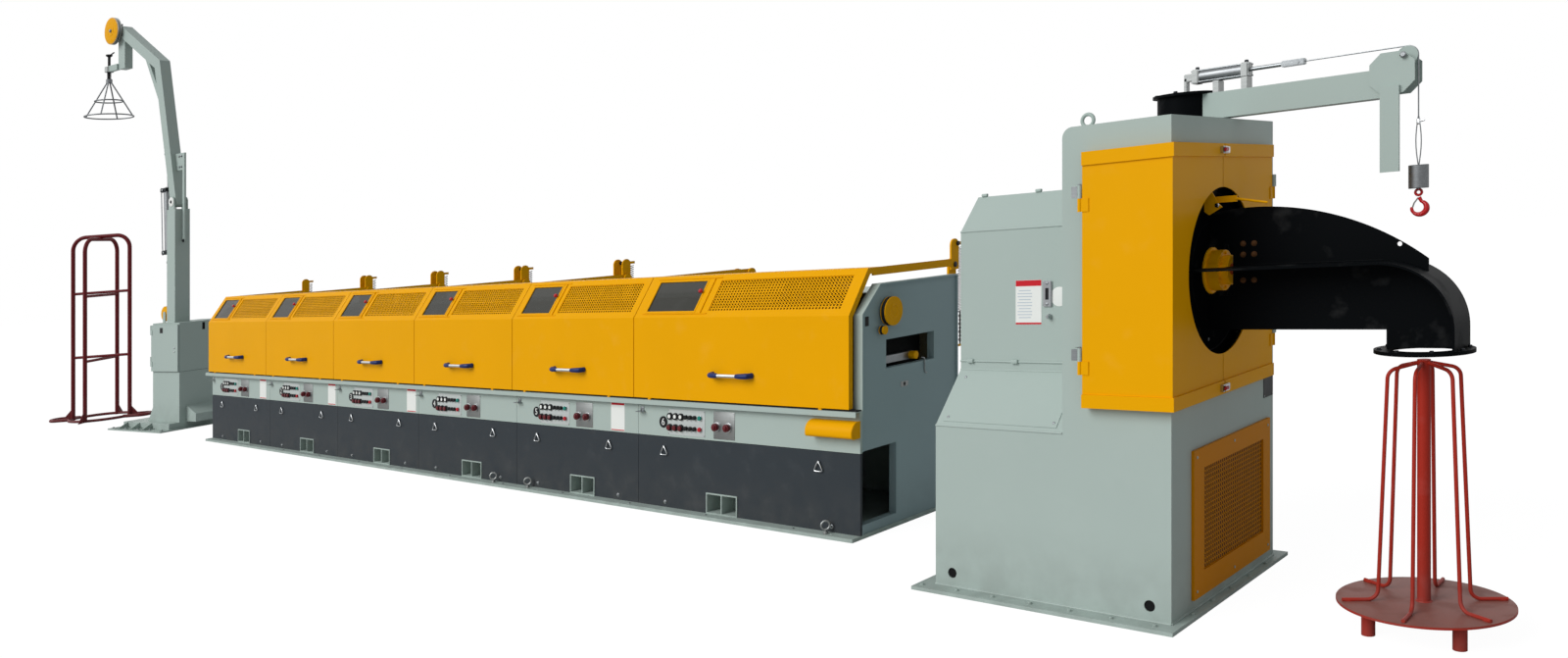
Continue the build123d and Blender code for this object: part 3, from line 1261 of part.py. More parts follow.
with BuildPart() as lifting_hook:
    hook_centre = HOOK_BOTTOM + HOOK_RADIUS + HOOK_WIRE_RADIUS
    hook_plane = Plane(origin=(hook_x, jib_y, hook_centre), x_dir=(1, 0, 0), z_dir=(0, -1, 0))
    eye_height = (WEIGHT_TOP - WEIGHT_HEIGHT) - hook_centre - HOOK_EYE_RADIUS
    with BuildLine(hook_plane) as hook_path:
        Spline(
            (0, eye_height),
            (HOOK_WIRE_RADIUS, HOOK_RADIUS + HOOK_WIRE_RADIUS),
            (HOOK_RADIUS, 0),
            (0, -HOOK_RADIUS),
            (-HOOK_RADIUS, HOOK_WIRE_RADIUS),
        )
    with BuildSketch(Plane(origin=hook_path.line @ 0, z_dir=hook_path.line % 0)):
        Circle(HOOK_WIRE_RADIUS)
    sweep(path=hook_path.line)
    round_y(
        HOOK_EYE_RADIUS,
        (jib_y - HOOK_WIRE_RADIUS, jib_y + HOOK_WIRE_RADIUS),
        hook_x,
        WEIGHT_TOP - WEIGHT_HEIGHT - HOOK_EYE_RADIUS,
    )
finish(lifting_hook.part, "lifting_hook")

# Coil stand
stand_top = STAND_DISC_Z + STAND_DISC_THICK
with BuildPart() as coil_stand:
    round_z(STAND_DISC_RADIUS, (STAND_DISC_Z, stand_top), ring_centre, hub_y)
    with Locations((ring_centre, hub_y, STAND_DISC_Z / 2)):
        with PolarLocations(STAND_FOOT_PLACE, STAND_FOOT_COUNT, start_angle=STAND_FOOT_ANGLE):
            Cylinder(STAND_FOOT_RADIUS, STAND_DISC_Z)
    round_z(STAND_POST_RADIUS, (stand_top, STAND_POST_TOP), ring_centre, hub_y)
    for number in range(STAND_ROD_COUNT):
        angle = 2 * math.pi * (number + HALF_STEP_SHARE) / STAND_ROD_COUNT
        rod_plane = Plane(origin=(ring_centre, hub_y, 0), x_dir=(math.cos(angle), math.sin(angle), 0), z_dir=(0, 0, 1))
        upright = Plane(origin=rod_plane.origin, x_dir=rod_plane.x_dir, z_dir=-rod_plane.y_dir)
        rod_z = stand_top + STAND_ROD_RADIUS
        with BuildLine(upright) as rod_path:
            FilletPolyline(
                (0, STAND_POST_TOP - STAND_ROD_RADIUS),
                (STAND_SHOULDER_REACH, STAND_POST_TOP - STAND_ROD_RADIUS - STAND_SHOULDER_DROP),
                (STAND_HEEL_REACH, rod_z),
                (STAND_TOE_REACH, rod_z),
                radius=STAND_BEND,
            )
        with BuildSketch(Plane(origin=rod_path.line @ 0, z_dir=rod_path.line % 0)):
            Circle(STAND_ROD_RADIUS)
        sweep(path=rod_path.line)
finish(coil_stand.part, "coil_stand")

# Payoff stand, in a frame turned a little from the line
payoff = Plane(
    origin=(line_left - PAYOFF_GAP, line_front + PAYOFF_FROM_FRONT, 0),
    x_dir=(math.cos(math.radians(PAYOFF_TURN)), math.sin(math.radians(PAYOFF_TURN)), 0),
    z_dir=(0, 0, 1),
)
with BuildPart(payoff) as payoff_base:
    block((-FOOT_LEFT, FOOT_RIGHT), (-FOOT_FRONT, FOOT_BACK), (0, FOOT_SHEET))
    box_range = (-FOOT_LEFT + FOOT_STEP, FOOT_RIGHT - FOOT_BOX_INSET)
    block(box_range, (-FOOT_FRONT + FOOT_STEP, FOOT_BACK), (FOOT_SHEET, FOOT_BOX_TOP))
    toe_front = -FOOT_FRONT
    toe_back = -FOOT_FRONT + FOOT_STEP
    for number in range(TOE_COUNT):
        toe_start = box_range[0] + TOE_START + number * TOE_SPACING
        toe_origin = payoff.from_local_coords((toe_start, 0, 0))
        with BuildSketch(Plane(origin=toe_origin, x_dir=payoff.y_dir, z_dir=payoff.x_dir)):
            with BuildLine():
                Polyline(
                    (toe_front, FOOT_SHEET),
                    (toe_back, FOOT_SHEET),
                    (toe_back, FOOT_BOX_TOP),
                    close=True,
                )
            make_face()
        extrude(amount=TOE_THICK)
finish(payoff_base.part, "payoff_base")

sheave_axis_z = CABINET_TOP + CABINET_SHEAVE_LIFT
cheek_inner = CABINET_SHEAVE_WIDTH / 2 + CHEEK_GAP
cabinet_door_back = -CABINET_FRONT - CABINET_DOOR_GAP
cabinet_hinge_x = -CABINET_HALF - HINGE_RADIUS - HINGE_GAP
cabinet_hinge_y = cabinet_door_back - CABINET_HINGE_RISE
cabinet_hinge_heights = (CABINET_DOOR_BOTTOM + HINGE_HEIGHT, CABINET_DOOR_TOP - HINGE_HEIGHT / 2)
with BuildPart(payoff) as payoff_cabinet:
    cabinet_range = (-CABINET_HALF, CABINET_HALF)
    cabinet_depth = (-CABINET_FRONT, CABINET_BACK)
    block(cabinet_range, cabinet_depth, (FOOT_BOX_TOP, CABINET_TOP))
    block(
        (-CABINET_HALF + CABINET_WALL, CABINET_HALF - CABINET_WALL),
        (-CABINET_FRONT - OVERRUN, CABINET_BACK - CABINET_WALL),
        (CABINET_DOOR_BOTTOM + CABINET_WALL, CABINET_DOOR_TOP - CABINET_WALL),
        Mode.SUBTRACT,
    )
    side_box_points = [
        (CABINET_HALF, FOOT_BOX_TOP),
        (CABINET_HALF + SIDE_BOX_LENGTH, FOOT_BOX_TOP),
        (CABINET_HALF + SIDE_BOX_LENGTH, FOOT_BOX_TOP + SIDE_BOX_HEIGHT / 2),
        (CABINET_HALF, FOOT_BOX_TOP + SIDE_BOX_HEIGHT),
    ]
    plate_along(side_box_points, -CABINET_FRONT + SIDE_BOX_SETBACK, SIDE_BOX_DEPTH, payoff)
    gusset_points = [
        (-CABINET_HALF, FOOT_BOX_TOP),
        (-CABINET_HALF, FOOT_BOX_TOP + CABINET_GUSSET_HEIGHT),
        (-CABINET_HALF - CABINET_GUSSET_RUN, FOOT_BOX_TOP),
    ]
    plate_along(gusset_points, -CABINET_FRONT + TOE_THICK, TOE_THICK, payoff)
    for side in (-1, 1):
        cheek_start = cheek_inner if side == 1 else -cheek_inner - CHEEK_THICK
        cheek_range = (cheek_start, cheek_start + CHEEK_THICK)
        cheek_x = (-CABINET_SHEAVE_REACH - CHEEK_RADIUS, -CABINET_SHEAVE_REACH + CHEEK_RADIUS)
        block(cheek_x, cheek_range, (CABINET_TOP, sheave_axis_z))
        round_y(CHEEK_RADIUS, cheek_range, -CABINET_SHEAVE_REACH, sheave_axis_z)
    pin_range = (-cheek_inner, cheek_inner)
    round_y(CABINET_SHEAVE_PIN, pin_range, -CABINET_SHEAVE_REACH, sheave_axis_z)
    for hinge_z in cabinet_hinge_heights:
        hinge_range = (hinge_z + SEAT_GAP, hinge_z + HINGE_HEIGHT / 2)
        round_z(HINGE_RADIUS, hinge_range, cabinet_hinge_x, cabinet_hinge_y)
        leaf_thick = (cabinet_hinge_x - HINGE_SHEET / 2, cabinet_hinge_x + HINGE_SHEET / 2)
        leaf_end = -CABINET_FRONT + HINGE_LEAF
        block(leaf_thick, (cabinet_hinge_y, leaf_end), hinge_range)
        block((leaf_thick[0], -CABINET_HALF), (leaf_end - HINGE_RADIUS, leaf_end), hinge_range)
finish(payoff_cabinet.part, "payoff_cabinet")

with BuildPart(payoff) as payoff_cabinet_door:
    door_depth = (cabinet_door_back - CABINET_DOOR_THICK, cabinet_door_back)
    block((-CABINET_HALF, CABINET_HALF), door_depth, (CABINET_DOOR_BOTTOM, CABINET_DOOR_TOP))
    for hinge_z in cabinet_hinge_heights:
        hinge_range = (hinge_z - HINGE_HEIGHT / 2, hinge_z)
        round_z(HINGE_RADIUS, hinge_range, cabinet_hinge_x, cabinet_hinge_y)
        leaf_thick = (door_depth[0] - HINGE_SHEET, door_depth[0] + HINGE_SHEET)
        block((cabinet_hinge_x, -CABINET_HALF + HINGE_LEAF), leaf_thick, hinge_range)
finish(payoff_cabinet_door.part, "payoff_cabinet_door")


with BuildPart(payoff) as cabinet_sheave:
    sheave_centre = (-CABINET_SHEAVE_REACH, 0, sheave_axis_z)
    through_wheel(
        payoff,
        sheave_centre,
        CABINET_SHEAVE_RADIUS,
        CABINET_SHEAVE_WIDTH,
        CABINET_SHEAVE_GROOVE,
        CABINET_SHEAVE_PIN + PIN_CLEARANCE,
    )
finish(cabinet_sheave.part, "cabinet_sheave")

# Post with its pivot plates, the arm's pin and the cylinder's lower lug
pivot_inner = PAYOFF_ARM / 2 + PIVOT_SIDE_GAP
lug_gap = TILT_EYE_THICK / 2 + TILT_LUG_GAP
with BuildPart(payoff) as payoff_post:
    half_post = POST_SIZE / 2
    block((-half_post, half_post), (-half_post, half_post), (CABINET_TOP, POST_TOP))
    for side in (-1, 1):
        plate_start = pivot_inner if side == 1 else -pivot_inner - PIVOT_PLATE
        plate_range = (plate_start, plate_start + PIVOT_PLATE)
        plate_x = (-PIVOT_PLATE_RADIUS, PIVOT_PLATE_RADIUS)
        block(plate_x, plate_range, (POST_TOP, ARM_PIVOT_Z))
        round_y(PIVOT_PLATE_RADIUS, plate_range, 0, ARM_PIVOT_Z)
        lug_start = lug_gap if side == 1 else -lug_gap - TILT_LUG_THICK
        lug_range = (lug_start, lug_start + TILT_LUG_THICK)
        lug_height = (TILT_LOW_Z - TILT_EYE_RADIUS, TILT_LOW_Z + TILT_EYE_RADIUS)
        block((-TILT_LOW_REACH, -half_post), lug_range, lug_height)
        round_y(TILT_EYE_RADIUS, lug_range, -TILT_LOW_REACH, TILT_LOW_Z)
    round_y(ARM_PIN_RADIUS, (-pivot_inner, pivot_inner), 0, ARM_PIVOT_Z)
    round_y(TILT_PIN_RADIUS, (-lug_gap, lug_gap), -TILT_LOW_REACH, TILT_LOW_Z)
finish(payoff_post.part, "payoff_post")


def arm_outline():
    """Both edges of the bent arm, set off its centre line by half its section."""
    half = PAYOFF_ARM / 2
    lower = math.atan2(ELBOW_Z - ARM_PIVOT_Z, -ELBOW_REACH)
    upper = math.atan2(HEAD_Z - ELBOW_Z, ELBOW_REACH - HEAD_REACH)
    bisector = (lower + upper) / 2
    miter = half / math.cos((upper - lower) / 2)
    low_side = (half * math.sin(lower), -half * math.cos(lower))
    high_side = (half * math.sin(upper), -half * math.cos(upper))
    elbow_side = (miter * math.sin(bisector), -miter * math.cos(bisector))
    return [
        (low_side[0], ARM_PIVOT_Z + low_side[1]),
        (-ELBOW_REACH + elbow_side[0], ELBOW_Z + elbow_side[1]),
        (-HEAD_REACH + high_side[0], HEAD_Z + high_side[1]),
        (-HEAD_REACH - high_side[0], HEAD_Z - high_side[1]),
        (-ELBOW_REACH - elbow_side[0], ELBOW_Z - elbow_side[1]),
        (-low_side[0], ARM_PIVOT_Z - low_side[1]),
    ]


def arm_centre_x(z):
    """Where the arm's lower limb has its centre line at a height."""
    return -ELBOW_REACH * (z - ARM_PIVOT_Z) / (ELBOW_Z - ARM_PIVOT_Z)


def upper_centre_z(reach):
    """Height of the upper limb's centre line at a reach."""
    return ELBOW_Z + (HEAD_Z - ELBOW_Z) * (reach - ELBOW_REACH) / (HEAD_REACH - ELBOW_REACH)


with BuildPart(payoff) as payoff_arm:
    half_arm = PAYOFF_ARM / 2
    plate_along(arm_outline(), -half_arm, PAYOFF_ARM, payoff)
    round_y(half_arm, (-half_arm, half_arm), 0, ARM_PIVOT_Z)
    round_y(ARM_PIN_RADIUS + PIN_CLEARANCE, (-half_arm - OVERRUN, half_arm + OVERRUN), 0, ARM_PIVOT_Z, Mode.SUBTRACT)
    brace_low = (arm_centre_x(BRACE_LOW_Z), BRACE_LOW_Z)
    brace_high = (-BRACE_REACH, upper_centre_z(BRACE_REACH))
    plate_along(
        [
            brace_low,
            (brace_low[0], brace_low[1] + BRACE_THICK),
            (brace_high[0] + BRACE_THICK, brace_high[1]),
            brace_high,
            (brace_high[0], brace_high[1] - half_arm),
            (brace_low[0] - half_arm, brace_low[1] - BRACE_THICK),
        ],
        -BRACE_WIDTH / 2,
        BRACE_WIDTH,
        payoff,
    )
    tail_back = TAIL_BAR_OUTER - TAIL_BAR_WIDTH
    plate_along(
        [
            (arm_centre_x(TAIL_PLATE_BOTTOM), TAIL_PLATE_BOTTOM),
            (tail_back, TAIL_PLATE_BOTTOM),
            (tail_back, TAIL_BAR_END),
            (TAIL_BAR_OUTER, TAIL_BAR_END),
            (TAIL_BAR_OUTER, TAIL_PLATE_TOP),
            (arm_centre_x(TAIL_PLATE_TOP), TAIL_PLATE_TOP),
        ],
        -TAIL_THICK / 2,
        TAIL_THICK,
        payoff,
    )
    tail_middle = TAIL_BAR_OUTER - TAIL_BAR_WIDTH / 2
    round_y(TAIL_BAR_WIDTH / 2, (-TAIL_THICK / 2, TAIL_THICK / 2), tail_middle, TAIL_BAR_END)
    hanger_range = (-HANGER_HALF, HANGER_HALF)
    block((-HANGER_OUTER, -HANGER_INNER), hanger_range, (HANGER_BOTTOM, HEAD_Z))
    collar_y = -CONE_OFFSET
    hanger_arm_z = (HANGER_BOTTOM, HANGER_BOTTOM + HANGER_ARM_HEIGHT)
    block((-CONE_REACH, -HANGER_OUTER), (collar_y - HANGER_HALF / 2, collar_y + HANGER_HALF / 2), hanger_arm_z)
    round_z(COLLAR_RADIUS, (HANGER_BOTTOM, HANGER_BOTTOM + COLLAR_HEIGHT), -CONE_REACH, collar_y)
    round_z(GUIDE_STEM_RADIUS, (HANGER_BOTTOM, GUIDE_TOP), -CONE_REACH, collar_y)
    round_z(GUIDE_RADIUS, (GUIDE_TOP - FOOT_SHEET, GUIDE_TOP), -CONE_REACH, collar_y)
    pin_start = -half_arm - HEAD_SHEAVE_GAP - HEAD_SHEAVE_WIDTH
    round_y(HEAD_SHEAVE_PIN, (pin_start, 0), -HEAD_SHEAVE_REACH, HEAD_SHEAVE_Z)
    boss_range = (-half_arm, half_arm)
    round_y(CHEEK_RADIUS, boss_range, -HEAD_SHEAVE_REACH, HEAD_SHEAVE_Z)
    block((-HEAD_SHEAVE_REACH, -HEAD_REACH), boss_range, (HEAD_SHEAVE_Z - CHEEK_RADIUS, HEAD_SHEAVE_Z + CHEEK_RADIUS))
    for side in (-1, 1):
        lug_start = lug_gap if side == 1 else -lug_gap - TILT_LUG_THICK
        lug_range = (lug_start, lug_start + TILT_LUG_THICK)
        lug_height = (TILT_HIGH_Z - TILT_EYE_RADIUS, TILT_HIGH_Z + TILT_EYE_RADIUS)
        block((-TILT_HIGH_REACH, arm_centre_x(TILT_HIGH_Z)), lug_range, lug_height)
        round_y(TILT_EYE_RADIUS, lug_range, -TILT_HIGH_REACH, TILT_HIGH_Z)
    round_y(TILT_PIN_RADIUS, (-lug_gap, lug_gap), -TILT_HIGH_REACH, TILT_HIGH_Z)
finish(payoff_arm.part, "payoff_arm")

with BuildPart(payoff) as arm_sheave:
    arm_sheave_y = -half_arm - HEAD_SHEAVE_GAP - HEAD_SHEAVE_WIDTH / 2
    through_wheel(
        payoff,
        (-HEAD_SHEAVE_REACH, arm_sheave_y, HEAD_SHEAVE_Z),
        HEAD_SHEAVE_RADIUS,
        HEAD_SHEAVE_WIDTH,
        HEAD_SHEAVE_GROOVE,
        HEAD_SHEAVE_PIN + PIN_CLEARANCE,
    )
finish(arm_sheave.part, "arm_sheave")

# Tilt cylinder between the post and the arm
tilt_low = Vector(-TILT_LOW_REACH, 0, TILT_LOW_Z)
tilt_high = Vector(-TILT_HIGH_REACH, 0, TILT_HIGH_Z)
tilt_run = tilt_high - tilt_low
tilt_direction = tilt_run.normalized()
tilt_axis = payoff.from_local_coords(tilt_direction) - payoff.origin
tilt_plane = Plane(origin=payoff.from_local_coords(tilt_low), x_dir=payoff.y_dir, z_dir=tilt_axis)
with BuildPart(tilt_plane) as tilt_cylinder:
    round_x(TILT_EYE_RADIUS, (-TILT_EYE_THICK / 2, TILT_EYE_THICK / 2), 0, 0)
    half_eye = TILT_EYE_THICK / 2
    block((-half_eye, half_eye), (-half_eye, half_eye), (0, TILT_BARREL_BOTTOM))
    half_tilt_cap = TILT_CAP / 2
    cap_side = (-half_tilt_cap, half_tilt_cap)
    block(cap_side, cap_side, (TILT_BARREL_BOTTOM, TILT_BARREL_BOTTOM + TILT_CAP_LENGTH))
    block(cap_side, cap_side, (TILT_BARREL_TOP - TILT_CAP_LENGTH, TILT_BARREL_TOP))
    round_z(TILT_BARREL_RADIUS, (TILT_BARREL_BOTTOM, TILT_BARREL_TOP), 0, 0)
    bore_bottom = TILT_BARREL_BOTTOM + TILT_CAP_LENGTH
    round_z(TILT_ROD_RADIUS + PIN_CLEARANCE, (bore_bottom, TILT_BARREL_TOP + OVERRUN), 0, 0, Mode.SUBTRACT)
    bore_side = (-half_eye - OVERRUN, half_eye + OVERRUN)
    round_x(TILT_PIN_RADIUS + PIN_CLEARANCE, bore_side, 0, 0, Mode.SUBTRACT)
finish(tilt_cylinder.part, "tilt_cylinder")

with BuildPart(tilt_plane) as tilt_rod:
    rod_start = (TILT_BARREL_BOTTOM + TILT_BARREL_TOP) / 2
    round_z(TILT_ROD_RADIUS, (rod_start, tilt_run.length), 0, 0)
    round_x(TILT_EYE_RADIUS, (-half_eye, half_eye), 0, tilt_run.length)
    eye_bore = TILT_PIN_RADIUS + TILT_EYE_PLAY
    round_x(eye_bore, bore_side, 0, tilt_run.length, Mode.SUBTRACT)
finish(tilt_rod.part, "tilt_rod")

# Hanging guide cone: hub, four rods and two rings, with the black spring above it
cone_y = -CONE_OFFSET
with BuildPart(payoff) as guide_cone:
    hub_top = CONE_SPRING_BOTTOM
    hub_bottom = hub_top - CONE_HUB_HEIGHT
    round_z(CONE_HUB_RADIUS, (hub_bottom, hub_top), -CONE_REACH, cone_y)
    cone_drop = hub_bottom - CONE_BOTTOM_Z
    mid_share = (hub_bottom - CONE_MID_Z) / cone_drop
    mid_radius = CONE_TOP_REACH + (CONE_BOTTOM_RADIUS - CONE_TOP_REACH) * mid_share
    for number in range(CONE_ROD_COUNT):
        angle = 2 * math.pi * (number + HALF_STEP_SHARE) / CONE_ROD_COUNT
        top_point = (
            -CONE_REACH + CONE_TOP_REACH * math.cos(angle),
            cone_y + CONE_TOP_REACH * math.sin(angle),
            hub_bottom + CONE_ROD_RADIUS,
        )
        low_point = (
            -CONE_REACH + CONE_BOTTOM_RADIUS * math.cos(angle),
            cone_y + CONE_BOTTOM_RADIUS * math.sin(angle),
            CONE_BOTTOM_Z,
        )
        rod(top_point, low_point, CONE_ROD_RADIUS, payoff)
    for ring_z, ring_radius in ((CONE_MID_Z, mid_radius), (CONE_BOTTOM_Z, CONE_BOTTOM_RADIUS)):
        with Locations((-CONE_REACH, cone_y, ring_z)):
            Torus(ring_radius, CONE_ROD_RADIUS)
finish(guide_cone.part, "guide_cone")

with BuildPart(payoff) as cone_spring:
    round_z(CONE_SPRING_RADIUS, (CONE_SPRING_BOTTOM, HANGER_BOTTOM), -CONE_REACH, cone_y)
finish(cone_spring.part, "cone_spring")

# Tube coil rack: two crossed hoops with rungs, a floor ring and two looped feet
rack = Plane(
    origin=(line_left - RACK_GAP, line_front + RACK_FROM_FRONT, 0),
    x_dir=(math.cos(math.radians(RACK_TURN)), math.sin(math.radians(RACK_TURN)), 0),
    z_dir=(0, 0, 1),
)
gusset_start = RACK_HALF + RACK_TUBE_RADIUS / 2
foot_root = math.sqrt(RACK_HALF**2 - RACK_FOOT_HALF**2)
with BuildPart(rack) as coil_rack:
    for turn, drop in ((0, 0), (90, RACK_CROSS_DROP)):
        hoop_plane = rack.rotated((0, 0, turn))
        upright = Plane(origin=rack.origin, x_dir=hoop_plane.x_dir, z_dir=-hoop_plane.y_dir)
        top = RACK_TOP - RACK_TUBE_RADIUS - drop
        with BuildLine(upright) as hoop_path:
            FilletPolyline(
                (-RACK_HALF, 0),
                (-RACK_HALF, top),
                (RACK_HALF, top),
                (RACK_HALF, 0),
                radius=RACK_BEND,
            )
        with BuildSketch(Plane(origin=hoop_path.line @ 0, z_dir=(0, 0, 1))):
            Circle(RACK_TUBE_RADIUS)
        sweep(path=hoop_path.line)
        for rung in (RACK_RUNG_LOW, RACK_RUNG_HIGH):
            rod((-RACK_HALF, 0, rung - drop), (RACK_HALF, 0, rung - drop), RACK_RUNG_RADIUS, hoop_plane)
        for side in (-1, 1):
            plate_along(
                [
                    (side * gusset_start, 0),
                    (side * gusset_start, RACK_GUSSET),
                    (side * (gusset_start + RACK_GUSSET_THICK), RACK_GUSSET),
                    (side * (gusset_start + RACK_GUSSET), 0),
                ],
                -RACK_GUSSET_THICK / 2,
                RACK_GUSSET_THICK,
                hoop_plane,
            )
    for side in (-1, 1):
        with BuildLine(rack.offset(RACK_FOOT_RADIUS)) as foot_path:
            FilletPolyline(
                (side * foot_root, -RACK_FOOT_HALF),
                (side * RACK_FOOT_REACH, -RACK_FOOT_HALF),
                (side * RACK_FOOT_REACH, RACK_FOOT_HALF),
                (side * foot_root, RACK_FOOT_HALF),
                radius=RACK_FOOT_BEND,
            )
        with BuildSketch(Plane(origin=foot_path.line @ 0, z_dir=foot_path.line % 0)):
            Circle(RACK_FOOT_RADIUS)
        sweep(path=foot_path.line)
    with Locations((0, 0, RACK_RUNG_RADIUS)):
        Torus(RACK_HALF, RACK_RUNG_RADIUS)
finish(coil_rack.part, "coil_rack")
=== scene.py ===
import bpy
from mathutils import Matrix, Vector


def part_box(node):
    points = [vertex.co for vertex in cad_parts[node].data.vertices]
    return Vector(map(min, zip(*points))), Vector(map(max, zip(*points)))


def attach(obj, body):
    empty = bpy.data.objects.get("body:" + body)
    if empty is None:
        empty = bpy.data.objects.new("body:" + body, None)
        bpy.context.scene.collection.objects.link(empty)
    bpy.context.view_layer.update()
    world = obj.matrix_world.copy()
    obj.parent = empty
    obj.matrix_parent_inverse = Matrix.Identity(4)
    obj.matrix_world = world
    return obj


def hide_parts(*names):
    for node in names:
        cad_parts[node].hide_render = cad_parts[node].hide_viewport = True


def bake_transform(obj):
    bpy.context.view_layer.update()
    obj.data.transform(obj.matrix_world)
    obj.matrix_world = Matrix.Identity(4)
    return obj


bl_info = {
    "name": "Wire drawing line",
    "version": (1, 0, 0),
    "blender": (4, 5, 0),
    "location": "3D View > Sidebar > Drawing line",
    "description": "Dresses the wire drawing line: paint, fittings, bolts, springs, stage and camera",
    "category": "Object",
}

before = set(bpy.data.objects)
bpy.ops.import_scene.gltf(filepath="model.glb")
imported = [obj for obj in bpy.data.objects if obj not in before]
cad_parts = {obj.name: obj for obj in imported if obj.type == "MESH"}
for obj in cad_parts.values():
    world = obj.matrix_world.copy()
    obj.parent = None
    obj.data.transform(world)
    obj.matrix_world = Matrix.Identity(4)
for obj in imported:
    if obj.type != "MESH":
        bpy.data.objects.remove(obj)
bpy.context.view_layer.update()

import math

import bmesh
import bpy
from bpy.props import FloatProperty, FloatVectorProperty, IntProperty, PointerProperty
from mathutils import Matrix, Vector

X_AXIS = Vector((1, 0, 0))
Y_AXIS = Vector((0, 1, 0))
Z_AXIS = Vector((0, 0, 1))
FRONT = -Y_AXIS
BLOCKS = range(1, 7)
SIDES = (-1, 1)
SMOOTH_LIMIT = math.radians(32)
BEVEL_LIMIT = math.radians(50)

# Places read from the solids, in metres
base_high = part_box("base_plate")[1]
ledge_low, ledge_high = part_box("ledge_rail")
hood_boxes = {number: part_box(f"hood_{number}") for number in BLOCKS}
HOOD_GAP = 0.003
seams = [hood_boxes[number][0].x - HOOD_GAP for number in BLOCKS] + [base_high.x]
END_RECESS = 0.012
end_face = base_high.x - END_RECESS
panel_front = -0.480

# The hoods' sloping face, and the shares of it that pane and sheet take up
hood_face = -0.520
hood_bend = 1.205
slope_run = 0.170
slope_rise = 0.245
slope_length = math.hypot(slope_run, slope_rise)
slope_up = Vector((0, slope_run, slope_rise)) / slope_length
slope_out = Vector((0, -slope_rise, slope_run)) / slope_length
PANE_SHARES = (0.055, 0.30)
MESH_SHARES = (0.37, 0.955)
SLIDE_SHARE = 0.335
SLOPE_SHARES = (0.15, 0.86)
slope_bottom, slope_top = (share * slope_length for share in SLOPE_SHARES)

# The hoods' arms: plates set in from the hoods' inner ends, without springs at one seam
ARM_THICKNESS = 0.012
ARM_INSET = 0.042
UNSPRUNG_SEAM = 5

# The payoff stand's own turned frame
payoff_origin = Vector((-5.815, -0.219, 0))
payoff_turn = Matrix.Rotation(math.radians(8), 3, "Z")
payoff_axis = payoff_turn @ Y_AXIS


def srgb(code):
    """Linear colour of a six-digit hex code."""
    values = [int(code[i:i + 2], 16) / 255 for i in (0, 2, 4)]
    return tuple(v / 12.92 if v <= 0.04045 else ((v + 0.055) / 1.055) ** 2.4 for v in values) + (1.0,)


def at_payoff(x, y, z):
    """A point of the payoff stand's own turned frame, in metres."""
    return payoff_origin + payoff_turn @ Vector((x, y, z))


def on_slope(x, up, out=0.0):
    """A point on a hood's sloping face."""
    return Vector((x, hood_face, hood_bend)) + slope_up * up + slope_out * out


# Sizes and colours a user may change
def colour_setting(name, description, code):
    return FloatVectorProperty(
        name=name, description=description, size=4, subtype="COLOR", default=srgb(code), min=0, max=1
    )


def length_setting(name, description, default, low, high):
    return FloatProperty(
        name=name, description=description, default=default, min=low, max=high, unit="LENGTH"
    )


class LinePaint(bpy.types.PropertyGroup):
    hood: colour_setting("Hood yellow", "Paint of hoods, doors and wheels", "E9A500")
    body: colour_setting("Machine grey", "Paint of strips, take-up and payoff stand", "A9B7B1")
    end: colour_setting("End frame grey", "Paint of the end frames' recessed faces", "93A7AB")
    lower: colour_setting("Panel charcoal", "Paint of the lower panels", "31373C")
    black: colour_setting("Trunk black", "Paint of the trunk and winding dish", "090B0D")
    stand: colour_setting("Stand red", "Paint of the coil stand", "A32A1C")
    rack: colour_setting("Rack maroon", "Paint of the tube coil rack", "6B1A1F")


class LineSizes(bpy.types.PropertyGroup):
    bolt: length_setting("Bolt head", "Half width of a hexagon head", 0.011, 0.002, 0.05)
    hole_pitch: length_setting("Sheet hole pitch", "Distance between a sheet's holes", 0.0235, 0.01, 0.1)
    hole_web: length_setting("Sheet web", "Metal left between two holes", 0.0115, 0.001, 0.05)
    spring_turns: IntProperty(
        name="Spring turns", description="Turns of each balance spring", default=26, min=4, max=80
    )
    camera_height: length_setting("Eye height", "Height of the camera above the floor", 1.65, 0.2, 5)


# Shader nodes
def feed(tree, node, inputs):
    """Give a node its inputs: a socket is linked, anything else is set."""
    for label, value in inputs.items():
        if isinstance(value, bpy.types.NodeSocket):
            tree.links.new(value, node.inputs[label])
        else:
            node.inputs[label].default_value = value


def add_node(tree, kind, inputs=None, **settings):
    node = tree.nodes.new(kind)
    for label, value in settings.items():
        setattr(node, label, value)
    feed(tree, node, inputs or {})
    return node


def new_group(name, inputs):
    """A shader group that gives a colour, a roughness and a height."""
    kinds = {type(None): "Vector", tuple: "Color", float: "Float"}
    group = bpy.data.node_groups.new(name, "ShaderNodeTree")
    for label, value in inputs.items():
        kind = f"NodeSocket{kinds[type(value)]}"
        socket = group.interface.new_socket(label, in_out="INPUT", socket_type=kind)
        if value is not None:
            socket.default_value = value
    for label, kind in (("Colour", "Color"), ("Roughness", "Float"), ("Height", "Float")):
        group.interface.new_socket(label, in_out="OUTPUT", socket_type=f"NodeSocket{kind}")
    return group, group.nodes.new("NodeGroupInput").outputs, group.nodes.new("NodeGroupOutput")


def noise(tree, vector, scale, detail):
    inputs = {"Vector": vector, "Scale": scale, "Detail": detail}
    return add_node(tree, "ShaderNodeTexNoise", inputs).outputs["Fac"]


def remap(tree, value, from_low, from_high, to_low, to_high):
    limits = {"From Min": from_low, "From Max": from_high, "To Min": to_low, "To Max": to_high}
    return add_node(tree, "ShaderNodeMapRange", {"Value": value, **limits}).outputs["Result"]


def maths(tree, operation, first, second, **settings):
    return add_node(tree, "ShaderNodeMath", {0: first, 1: second}, operation=operation, **settings).outputs[0]


